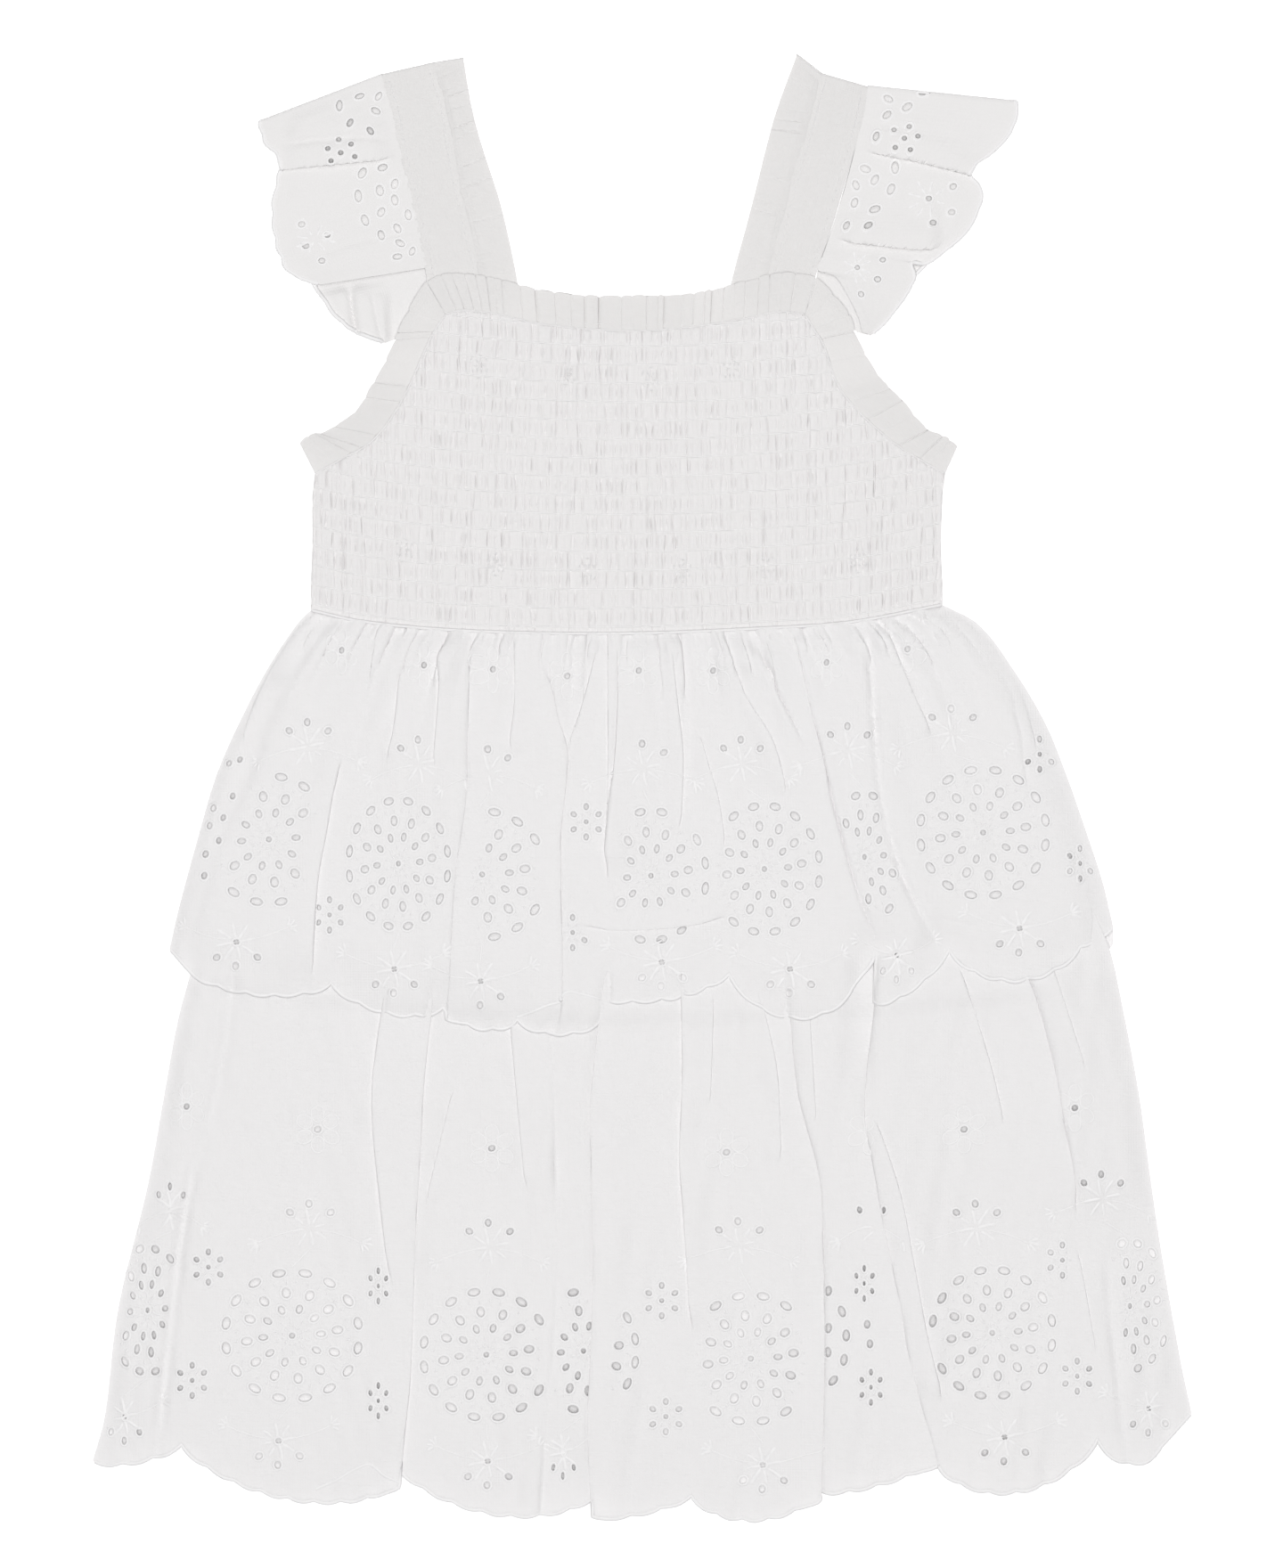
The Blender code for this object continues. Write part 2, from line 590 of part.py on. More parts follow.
def triangulated(outline, loops, creases, points):
    """Triangles between an outline, its eyelets, creases and inner points."""
    flat = [Vector(point) for point in outline]
    faces = [list(range(len(flat)))]
    for loop in loops:
        faces.append(list(range(len(flat), len(flat) + len(loop))))
        flat += [Vector(point) for point in counter_clockwise(loop)]
    edges = []
    for chain in creases:
        start = len(flat)
        flat += [Vector(point) for point in chain]
        edges += [(i, i + 1) for i in range(start, len(flat) - 1)]
    flat += [Vector(point) for point in points]
    found = delaunay_2d_cdt(flat, edges, faces, 1, 1e-6)
    vertices, triangles, origins = found[0], found[2], found[5]
    return vertices, [face for face, origin in zip(triangles, origins) if origin == [0]]


def surface_mesh(name, vertices, triangles, place):
    """An open surface from flat triangles, each corner put in its place in space."""
    shape = bmesh.new()
    corners = [shape.verts.new(Vector(place(*vertex)) * MM) for vertex in vertices]
    for triangle in triangles:
        shape.faces.new([corners[i] for i in triangle])
    loose = [vertex for vertex in shape.verts if not vertex.link_faces]
    bmesh.ops.delete(shape, geom=loose, context="VERTS")
    mesh = bpy.data.meshes.new(name)
    shape.to_mesh(mesh)
    shape.free()
    return mesh


def cut_panel(name, collection, outline, loops, creases, points, place):
    """A panel of cloth with its eyelets cut through."""
    vertices, triangles = triangulated(outline, loops, creases, points)
    mesh = surface_mesh(name, vertices, triangles, place)
    return add_piece(name, mesh, collection, CLOTH)


def ribbon(name, collection, columns, rows, place, wall=CLOTH):
    """A strip of cloth from a grid, put in its place by t along it and r across it."""
    shape = bmesh.new()
    bmesh.ops.create_grid(shape, x_segments=columns, y_segments=rows, size=0.5)
    for vertex in shape.verts:
        vertex.co = Vector(place(vertex.co.x + 0.5, vertex.co.y + 0.5)) * MM
    mesh = bpy.data.meshes.new(name)
    shape.to_mesh(mesh)
    shape.free()
    return add_piece(name, mesh, collection, wall)


def raised_slab(name, collection, outline, points, floor, top):
    """A slab with a plain underside and a top whose inner points are raised."""
    shape = bmesh.new()
    count = len(outline)
    lower, lower_faces = triangulated(outline, [], [], [])
    upper, upper_faces = triangulated(outline, [], [], points)
    low = [shape.verts.new(Vector((x, y, floor)) * MM) for x, y in lower]
    high = [shape.verts.new(Vector((x, y, top(x, y))) * MM) for x, y in upper]
    for face in lower_faces:
        shape.faces.new([low[i] for i in reversed(face)])
    for face in upper_faces:
        shape.faces.new([high[i] for i in face])
    for i in range(count):
        j = (i + 1) % count
        shape.faces.new([low[i], low[j], high[j], high[i]])
    mesh = bpy.data.meshes.new(name)
    shape.to_mesh(mesh)
    shape.free()
    return add_piece(name, mesh, collection)


# ---------------------------------------------------------------- bodice and frills

def bodice_outline(inset, waist_steps):
    """The bodice, counter-clockwise from the left of its waist."""
    path = [(x, y + GAP) for x, y in sampled(WAIST, waist_steps)]
    path += BODICE_SIDE_RIGHT[::-1]
    path += sampled(ARMHOLE_SEAM_RIGHT, ARMHOLE_PLEATS)[::-1]
    path += sampled(NECK_SEAM, NECK_PLEATS)[-2:0:-1]
    path += sampled(ARMHOLE_SEAM_LEFT, ARMHOLE_PLEATS)
    path += BODICE_SIDE_LEFT
    middle_x = (WAIST[0][0] + WAIST[-1][0]) / 2
    armhole_y = ARMHOLE_SEAM_LEFT[-1][1]
    return [(x + inset * (1 if x < middle_x else -1), y - (inset if y >= armhole_y else 0))
            for x, y in path]


def shirring_y(x, share):
    """Height of a shirring row: parallel to the waist low down and to the neck high up."""
    return waist_y(x) + share * (SHIRRING_TOP + SHIRRING_CURVE * x * x - waist_y(x))


def smocked_points(outline):
    """Points of the shirring: one on each row between ribs, two between the rows."""
    points = {}
    left, right = WAIST[0][0], WAIST[-1][0]
    pitch = (right - left) / SMOCK_RIBS
    for row in range(1, 2 * SMOCK_ROWS):
        share = row / (2 * SMOCK_ROWS)
        between = row % 2 == 1
        steps = 2 * SMOCK_RIBS if between else SMOCK_RIBS
        for i in range(steps + 1):
            x = left + i * pitch * (0.5 if between else 1)
            y = shirring_y(x, share)
            if inside(outline, x, y) and edge_distance(outline, x, y) > EDGE_MARGIN:
                points[(x, y)] = between and i % 2 == 1
    return points


def make_bodice(collection):
    """The shirred front, ribs raised over a plain inside, and the plain back under it."""
    outline = bodice_outline(0, SMOCK_RIBS // 2)
    raised = smocked_points(outline)
    floor = SMOCKED_WALL + GAP
    ribs = {(round(x, 3), round(y, 3)) for (x, y), up in raised.items() if up}

    def top(x, y):
        rib = (round(x, 3), round(y, 3)) in ribs
        return floor + SMOCKED_WALL + (RIB_HEIGHT if rib else 0)

    raised_slab("bodice_front", collection, outline, list(raised), floor, top)
    back = bodice_outline(BODICE_BACK_INSET, SMOCK_RIBS // 2)
    raised_slab("bodice_back", collection, back, [], 0.0, lambda x, y: SMOCKED_WALL)


def pleat_wave(t, pleats):
    """Height of knife pleats along a frill, 0 to 1: a slow rise and a quick fall."""
    phase = (t * pleats) % 1.0
    return phase / 0.5 if phase <= 0.5 else (1 - phase) / 0.5


def make_frill(name, collection, seam, edge, pleats, middle, height):
    """A pleated strip from its seam, which it clears by a gap, to its free edge."""
    def place(t, r):
        inner = Vector(point_on(seam, t))
        outer = Vector(point_on(edge, t))
        start = inner + (outer - inner).normalized() * SEAM_CLEARANCE
        x, y = start.lerp(outer, r)
        z = middle + height * pleat_wave(t, pleats) * (0.6 + 0.4 * r)
        return x, y, z

    columns = 2 * pleats if height else len(seam) - 1
    return ribbon(name, collection, columns, 1, place)


# ---------------------------------------------------------------- folded pieces

def edges_at(rows, t):
    """Inner and outer point of a folded piece, t counted from its last row to its first."""
    place = 1 - t
    inner = Vector(point_on([row.inner for row in rows], place))
    outer = Vector(point_on([row.outer for row in rows], place))
    return inner, outer


def over_shoulder(front, back, front_z, turn_share, height):
    """A place function for a strip that folds over the shoulder.

    t runs up the front, round the turn in the middle of its range and down the back.
    """
    radius = (front_z - BACK_MIDDLE) / 2
    start = 0.5 - turn_share / 2

    def place(t, r):
        if t <= start:
            inner, outer = edges_at(front, t / start)
            x, y = inner.lerp(outer, r)
            return x, y, front_z + height(t / start, r, x, y)
        if t >= 1 - start:
            inner, outer = edges_at(back, (1 - t) / start)
            x, y = inner.lerp(outer, r)
            return x, y, BACK_MIDDLE
        angle = math.pi * (t - start) / turn_share
        inner, outer = edges_at(front, 1.0)
        x, y = inner.lerp(outer, r)
        return (x, y + radius * math.sin(angle),
                BACK_MIDDLE + radius + radius * math.cos(angle))

    return place


def make_strap(name, collection, rows):
    """A plain band, folded over the shoulder."""
    flat = over_shoulder(rows, rows, STRAP_MIDDLE, STRAP_TURN, lambda t, r, x, y: 0.0)
    ribbon(name, collection, 15, 2, flat)


def make_strap_frill(name, collection, rows, pleats):
    """The pleated frill along a strap's inner edge, flat where it lies behind."""
    def pleated(t, r, x, y):
        free = smooth_step((1 - t) / 0.12)
        low = smooth_step((t - 0.12) / 0.2)
        return FRILL_PLEAT_HEIGHT * r * free * low * pleat_wave(t, pleats)

    turn = 3 / (4 * pleats + 3)
    place = over_shoulder(rows, rows, STRAP_MIDDLE, turn, pleated)
    ribbon(name, collection, 4 * pleats + 3, 1, place)


def sleeve_place(front, back, folds):
    """Place function of a sleeve in its own cloth: a along the seam, b outwards, in mm."""
    def waves(t, r, x, y):
        free = smooth_step((1 - t) / 0.10)
        return folds_height(folds, x, y) * free * smooth_step(r / 0.25)

    return over_shoulder(front, back, SLEEVE_MIDDLE, SLEEVE_TURN, waves)


def sleeve_spot(place, x, y):
    """Where a point of the front lies in the sleeve's own cloth, found by halving steps."""
    best = (0.25, 0.5)
    step = 0.12
    while step > 0.0002:
        spots = [(best[0] + i * step, best[1] + j * step)
                 for i in (-1, 0, 1) for j in (-1, 0, 1)]
        spots = [(min(max(t, 0), 0.48), min(max(r, 0), 1)) for t, r in spots]
        found = min(spots, key=lambda spot: math.dist(place(*spot)[:2], (x, y)))
        if found == best:
            step /= 2
        best = found
    return best[0] * SLEEVE_LENGTH, best[1] * SLEEVE_WIDTH


def make_sleeve(name, collection, front, back, folds, eyelets):
    """A flutter sleeve, folded over at the shoulder, with its eyelets cut in the front."""
    place = sleeve_place(front, back, folds)
    loops = []
    for row in eyelets:
        corners = eyelet_loop(row.x, row.y, row.length, row.width, math.radians(row.turn))
        loops.append([sleeve_spot(place, x, y) for x, y in corners])
    front_steps, turn_steps, back_steps = 2 * (len(front) - 1), 3, len(back) - 1
    start = 0.5 - SLEEVE_TURN / 2
    stations = [start * i / front_steps for i in range(front_steps)]
    stations += [start + SLEEVE_TURN * i / turn_steps for i in range(turn_steps)]
    stations += [1 - start + start * i / back_steps for i in range(back_steps + 1)]
    across = [i / 5 for i in range(6)]
    outline = [(t * SLEEVE_LENGTH, 0) for t in stations]
    outline += [(SLEEVE_LENGTH, r * SLEEVE_WIDTH) for r in across[1:-1]]
    outline += [(t * SLEEVE_LENGTH, SLEEVE_WIDTH) for t in reversed(stations)]
    outline += [(0, r * SLEEVE_WIDTH) for r in reversed(across[1:-1])]
    points = [(t * SLEEVE_LENGTH, r * SLEEVE_WIDTH) for t in stations[1:-1] for r in across[1:-1]
              if t <= 0.5 + SLEEVE_TURN or r == across[3]]
    points = [point for point in points
              if all(edge_distance(loop, *point) > HOLE_MARGIN and not inside(loop, *point)
                     for loop in loops)]

    def put(a, b):
        return place(a / SLEEVE_LENGTH, b / SLEEVE_WIDTH)

    cut_panel(name, collection, outline, loops, [], points, put)


# ---------------------------------------------------------------- the skirt's two tiers

def gathered_top(steps, inset):
    """Points along the waist, clear of the bodice, from left to right."""
    left, right = UPPER_SIDE_LEFT[-1][1] + inset, UPPER_SIDE_RIGHT[-1][1] - inset
    return [(x, waist_y(x) - SEAM_CLEARANCE)
            for x in (left + (right - left) * i / steps for i in range(steps + 1))]


def make_upper_tier(collection):
    """The upper tier: gathered front with its folds and eyelets, and the flat back."""
    rows = [50, 36, 22, 8, -8, -24, -42, -58]
    top = gathered_top(2 * WAIST_GATHERS, 0)
    hem = hem_points(UPPER_HEM, 6)
    outline = tier_outline(top, UPPER_SIDE_LEFT, UPPER_SIDE_RIGHT, hem, rows)
    loops = medallion_loops(UPPER_MEDALLIONS, UPPER_FOLDS, outline)
    creases, ridges = fold_points(UPPER_FOLDS, rows + [-74], outline)
    taken = [point for chain in creases for point in chain]
    gathers = []
    for y in (51, 41):
        left, right = value_at(UPPER_SIDE_LEFT, y), value_at(UPPER_SIDE_RIGHT, y)
        steps = 2 * WAIST_GATHERS
        gathers += [(left + (right - left) * i / steps, y) for i in range(steps + 1)]
    sides = [(value_at(UPPER_SIDE_LEFT, y) + UPPER_SIDE_REACH, y) for y in rows]
    sides += [(value_at(UPPER_SIDE_RIGHT, y) - UPPER_SIDE_REACH, y) for y in rows]
    filler = [(x, y) for y in rows + [-74] for x in range(-165, 170, FILLER_STEP)]
    points = spaced(gathers, taken, outline, loops, FINE_SPACE)
    points += spaced(ridges + sides, taken + points, outline, loops, FINE_SPACE)
    points += spaced(filler, taken + points, outline, loops, WIDE_SPACE)
    cut_panel("upper_tier_front", collection, outline, loops, creases, points,
              lambda x, y: (x, y, upper_front_middle(x, y)))
    back_rows = [40, 10, -20, -45]
    back_hem = [(x, back_hem_y(x)) for x in range(-172, 173, 43)]
    back = tier_outline(gathered_top(16, 1), UPPER_SIDE_LEFT, UPPER_SIDE_RIGHT,
                        back_hem, back_rows)
    cut_panel("upper_tier_back", collection, back, [], [], [],
              lambda x, y: (x, y, BACK_MIDDLE))


def step_chains(start, outline):
    """The top and the foot of a step past the upper tier's back hem, as chains."""
    chains = []
    for offset in (start, start + STEP_LENGTH):
        chain = [(x, back_hem_y(x) - offset) for x in range(-175, 180, 10)]
        chains.append([point for point in chain
                       if inside(outline, *point)
                       and edge_distance(outline, *point) > EDGE_MARGIN])
    return chains


def make_lower_tier(collection):
    """The lower tier: hidden and plain up to the waist, open folds and eyelets below."""
    rows = [20, -20, -45, -57, -64, -69, -74, -80, -88, -112, -138, -164, -186, -210, -234]
    fold_rows = [-66] + rows[8:] + [-252]
    hem = hem_points(LOWER_HEM, 6)
    outline = tier_outline(gathered_top(16, LOWER_TOP_INSET), LOWER_SIDE_LEFT,
                           LOWER_SIDE_RIGHT, hem, rows)
    loops = medallion_loops(LOWER_MEDALLIONS, LOWER_FOLDS, outline)
    creases, ridges = fold_points(LOWER_FOLDS, fold_rows, outline)
    creases += step_chains(FRONT_STEP, outline)
    taken = [point for chain in creases for point in chain]
    sides = [(value_at(LOWER_SIDE_LEFT, y) + LOWER_SIDE_REACH, y) for y in fold_rows]
    sides += [(value_at(LOWER_SIDE_RIGHT, y) - LOWER_SIDE_REACH, y) for y in fold_rows]
    filler = [(x, y) for y in fold_rows for x in range(-190, 195, FILLER_STEP)]
    points = spaced(ridges + sides, taken, outline, loops, FINE_SPACE)
    points += spaced(filler, taken + points, outline, loops, WIDE_SPACE)
    cut_panel("lower_tier_front", collection, outline, loops, creases, points,
              lambda x, y: (x, y, lower_front_middle(x, y)))
    back_rows = rows[:9] + [-140, -190, -230]
    back_hem = [(x, y + LOWER_BACK_LIFT) for x, y in hem_points(LOWER_HEM, 3)]
    back = tier_outline(gathered_top(16, LOWER_TOP_INSET + SEAM_CLEARANCE), LOWER_SIDE_LEFT,
                        LOWER_SIDE_RIGHT, back_hem, back_rows)
    cut_panel("lower_tier_back", collection, back, [], step_chains(BACK_STEP, back), [],
              lambda x, y: (x * LOWER_BACK_WIDTH, y, lower_back_middle(x, y)))


# ---------------------------------------------------------------- the dress

def clear_scene():
    for thing in list(bpy.data.objects):
        bpy.data.objects.remove(thing, do_unlink=True)


def main():
    clear_scene()
    collection = bpy.data.collections.new("toddler_dress")
    bpy.context.scene.collection.children.link(collection)
    make_bodice(collection)
    make_frill("neck_frill_front", collection, NECK_SEAM, NECK_EDGE, NECK_PLEATS,
               FRILL_MIDDLE, FRILL_PLEAT_HEIGHT)
    make_frill("neck_frill_back", collection, NECK_SEAM[3:7], NECK_EDGE[3:7], 1, BACK_MIDDLE, 0)
    for side, seam, edge in (("left", ARMHOLE_SEAM_LEFT, ARMHOLE_EDGE_LEFT),
                             ("right", ARMHOLE_SEAM_RIGHT, ARMHOLE_EDGE_RIGHT)):
        make_frill("armhole_frill_front_" + side, collection, seam, edge, ARMHOLE_PLEATS,
                   FRILL_MIDDLE, FRILL_PLEAT_HEIGHT)
        make_frill("armhole_frill_back_" + side, collection, seam[3:], edge[3:], 1,
                   BACK_MIDDLE, 0)
    for side, strap, frill in (("left", STRAP_LEFT, STRAP_FRILL_LEFT),
                               ("right", STRAP_RIGHT, STRAP_FRILL_RIGHT)):
        make_strap("strap_" + side, collection, strap)
        make_strap_frill("strap_frill_" + side, collection, frill, STRAP_PLEATS)
    make_sleeve("sleeve_left", collection, SLEEVE_FRONT_LEFT, SLEEVE_BACK_LEFT,
                SLEEVE_FOLDS_LEFT, SLEEVE_EYELETS_LEFT)
    make_sleeve("sleeve_right", collection, SLEEVE_FRONT_RIGHT, SLEEVE_BACK_RIGHT,
                SLEEVE_FOLDS_RIGHT, SLEEVE_EYELETS_RIGHT)
    make_upper_tier(collection)
    make_lower_tier(collection)


main()
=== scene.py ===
"""Looks of a toddler dress in white cutwork cotton, laid out flat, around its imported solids.

Every piece of cloth is a thin shell on its solid's form, with the fine folds, the eyelets cut
through, the satin stitching round them, the shirring and the scalloped hems. Lengths are in
millimetres until a mesh is made. Left and right are as seen from the front.
"""
import math
from collections import namedtuple

import bpy
import numpy as np
from mathutils import Matrix, Vector
from mathutils.geometry import delaunay_2d_cdt
from mathutils.kdtree import KDTree


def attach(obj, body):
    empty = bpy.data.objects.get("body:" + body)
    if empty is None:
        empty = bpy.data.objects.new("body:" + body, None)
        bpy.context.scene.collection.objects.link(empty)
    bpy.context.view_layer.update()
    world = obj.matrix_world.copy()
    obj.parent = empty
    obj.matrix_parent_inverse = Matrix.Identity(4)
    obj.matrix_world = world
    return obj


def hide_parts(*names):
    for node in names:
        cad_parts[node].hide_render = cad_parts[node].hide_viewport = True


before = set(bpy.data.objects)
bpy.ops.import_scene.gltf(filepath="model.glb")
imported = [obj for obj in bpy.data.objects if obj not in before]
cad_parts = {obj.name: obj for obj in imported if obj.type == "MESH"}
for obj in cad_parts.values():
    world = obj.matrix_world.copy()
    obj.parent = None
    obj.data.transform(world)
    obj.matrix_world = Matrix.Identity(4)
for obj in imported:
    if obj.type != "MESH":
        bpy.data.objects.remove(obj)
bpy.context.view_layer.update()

MM = 0.001

# The cloth and the stack of layers, from the surface upwards, as in the solids.
CLOTH = 0.4
LAYER = 1.3
GAP = 0.3
BACK_MIDDLE = 0.5
BACK_LIES = 0.25
STRAP_MIDDLE = 2.0
SLEEVE_MIDDLE = 2.1
UPPER_MIDDLE = BACK_MIDDLE + 3 * LAYER
FOLD_LIMIT = 3.2


def table(kind, *rows):
    """Rows of numbers as rows with names."""
    return [kind(*row) for row in rows]


# Outlines, as points (x, y), all counter-clockwise or from left to right.
WAIST = [
    (-122.5, 65.5), (-104.5, 61.5), (-75.5, 58.5), (-37.5, 57), (0.5, 57), (38.5, 58.5),
    (76.5, 61), (111.5, 67.5)]
NECK_SEAM = [
    (-72.5, 175), (-66, 176.5), (-53, 175), (-37.5, 171.5), (-18.5, 169.5), (0.5, 169),
    (19.5, 170.5), (38.5, 173.5), (51, 176), (60.5, 175)]
NECK_EDGE = [
    (-79.5, 187), (-71, 190), (-54, 188), (-38.5, 184), (-18.5, 181.5), (0.5, 181.5),
    (20, 182.5), (39, 187), (52, 190), (64.5, 188.5)]
ARMHOLE_SEAM_LEFT = [
    (-72.62, 175.05), (-76, 170), (-79.5, 163.5), (-86, 148.5), (-92.5, 137), (-100.5, 127.5),
    (-110, 122), (-121, 116)]
ARMHOLE_EDGE_LEFT = [
    (-79.62, 187.05), (-89, 171), (-92, 162.5), (-99, 150), (-105.5, 139), (-117, 131.5),
    (-122, 130.5), (-126.5, 127)]
ARMHOLE_SEAM_RIGHT = [
    (60.62, 175.0), (63.5, 170), (67.5, 163.5), (73, 148.5), (82.5, 137), (93.5, 127.5),
    (103.5, 121), (112.5, 116)]
ARMHOLE_EDGE_RIGHT = [
    (64.7, 188.45), (76, 176), (80, 165.5), (88.5, 151), (95.5, 144), (104.5, 133), (112, 129.5),
    (117, 126)]
BODICE_SIDE_LEFT = [(-122, 108), (-122, 90), (-122.5, 75)]
BODICE_SIDE_RIGHT = [(111.5, 108), (111, 90), (111.5, 75)]

# Sides of the two tiers: x at each height y, from the hem up.
UPPER_SIDE_LEFT = [
    (-60.5, -175), (-45, -171.5), (-15.5, -163.5), (4.5, -157.5), (24, -149), (44, -138.5),
    (60.5, -127.5), (65.5, -122.5)]
UPPER_SIDE_RIGHT = [
    (-52.5, 175), (-35.5, 171), (-15.5, 164.5), (4.5, 157.5), (24, 149.5), (44, 137.5),
    (60.5, 124.5), (67.5, 111.5)]
LOWER_SIDE_LEFT = [
    (-250, -203.5), (-233.5, -199), (-193.5, -194), (-147.5, -183), (-114.5, -177),
    (-85, -171.5), (-62, -165), (-45, -160.5), (0, -144.5), (25, -134), (58.5, -112)]
LOWER_SIDE_RIGHT = [
    (-232.5, 204), (-213.5, 200), (-174, 193), (-147.5, 189), (-114.5, 184.5), (-85, 179),
    (-62, 174), (-52, 170), (-35, 162.5), (0, 146), (30, 131), (60.5, 102)]

# Hems: each scallop runs from one cusp to the next and hangs below their chord by sag. Its
# own small scallops have a length and a depth.
SMALL_SCALLOP = 10.5
SCALLOP_DEPTH = 1.1
HEM_SPACING = 0.9
Scallop = namedtuple("Scallop", "x0 y0 x1 y1 sag")
UPPER_HEM = table(Scallop,
    (-175, -60.5, -167.5, -68.5, 0), (-167.5, -68.5, -115, -73, 6), (-115, -73, -73.5, -82, 6),
    (-73.5, -82, -46, -86.5, 5), (-46, -86.5, -15.2, -87, 4.5), (-15.2, -87, -14.2, -78.8, 0),
    (-14.2, -78.8, 7.5, -78.4, 0.6), (7.5, -78.4, 32.5, -69.5, 1.6), (32.5, -69.5, 78, -75, 13),
    (78, -75, 86, -63.5, 0), (86, -80, 114, -60.5, 4.5), (114, -60.5, 162.5, -59.5, 11.5),
    (162.5, -59.5, 175, -52.5, 1.5))
LOWER_HEM = table(Scallop,
    (-203.5, -250, -170.5, -244, 3), (-170.5, -244, -92, -259, 12),
    (-91.5, -251, -16, -261.5, 13), (-15, -270.5, 18.5, -263, 2), (18.5, -263, 66, -261, 9.5),
    (66, -261, 108.5, -250, 3), (108.5, -250, 169, -242, 15), (169, -242, 192.5, -245, 7),
    (192.5, -245, 204, -232.5, 0))

# The tiers' depth. The upper one's back ends at a plain hem, and the lower one steps down to
# the surface past it. Both turn down towards their sides, within the side reach.
BACK_HEM_MIDDLE = -76.0
BACK_HEM_RISE = 14.0
BACK_HEM_HALF = 175.0
BACK_STEP = 1.5
FRONT_STEP = 6.0
STEP_LENGTH = 8.0
UPPER_SIDE_REACH = (5.0, 14.0)
LOWER_SIDE_REACH = (7.0, 9.0)
LOWER_TOP_INSET = 10.0
LOWER_BACK_LIFT = 2.0
LOWER_BACK_WIDTH = 0.996
BACK_RISES = 0.45
FOLDS_OPEN_FROM = -30.0
FOLDS_OPEN_OVER = 50.0

# The bodice: the top row of its shirring is parallel to the neck, and its back is a little
# smaller than its front.
SHIRRING_TOP = 170.0
SHIRRING_CURVE = 0.0009
BODICE_BACK_INSET = 0.6

# Folds. A fold runs down (its path gives x at each height y) or across (y at each x).
# before and after are the ridges' heights on its low and high side, crease the half width
# of its valley, reach how far the ridges die away, fade the length of its soft ends. Where
# lean isn't zero, the ridge on one side laps over the valley by about that much: above zero
# the low side's ridge, below zero the high side's.
Fold = namedtuple("Fold", "name runs path before after crease reach fade lean", defaults=[0.0])
UPPER_FOLDS = [
    Fold("side_left", "down", [(-75, -173), (-35.5, -160), (-15.5, -153.5), (7.5, -143.5),
        (26.5, -137), (51.5, -122), (66, -108)], 0.8, 0.8, 4.0, 13, 10),
    Fold("soft_left", "down", [(-80, -123), (-35.5, -120.5), (-15.5, -117), (1, -114),
        (16, -109)], 2.0, 0.6, 1.8, 12, 16, 2.0),
    Fold("valley_left", "down", [(-96, -73), (-75, -70), (-33.5, -67.5), (-3.5, -63.5),
        (27.5, -63), (48, -62.5), (60, -62)], 2.0, 2.4, 2.0, 13, 14, -3.2),
    Fold("valley_middle", "down", [(-96, -30.5), (-58.5, -30.5), (-19, -31), (12.5, -28.5),
        (27.5, -32.5), (50, -36)], 2.0, 1.7, 2.0, 12, 16, 2.8),
    Fold("thin_middle", "down", [(-40, -13), (-2.5, -10.5), (14, -9), (37.5, -8), (58, -9)], 0.8,
        2.2, 1.5, 9, 16, -1.8),
    Fold("join_right", "down", [(2, 67), (14, 61), (25.5, 55.5), (34, 51), (54, 42)], 2.4, 1.8,
        1.6, 9, 8),
    Fold("overlap_right", "down", [(-90, 86.5), (-56, 86), (-42.5, 81), (-17, 73.5), (14, 66),
        (26, 63)], 5.0, 4.0, 2.6, 15, 22, 0.6),
    Fold("above_right", "down", [(-6, 71), (14, 66), (30.5, 62), (47, 58.5), (62, 54)], 2.2, 1.2,
        2.0, 12, 20, 1.4),
    Fold("valley_right", "down", [(-90, 120), (-58.5, 109), (-35.5, 97.5), (-5.5, 89),
        (27.5, 86), (62, 83.5)], 4.4, 3.2, 3.4, 13, 10),
    Fold("side_right", "down", [(-8, 145), (4.5, 142.5), (21, 140), (37.5, 135.5), (54, 122),
        (64, 106)], 1.0, 0.6, 2.4, 8, 12),
    Fold("shelf", "across", [(-26, -51), (-6.5, -52), (13, -51), (36, -47)], 0.3, 1.4, 1.8, 10,
        14, -2.6),
]
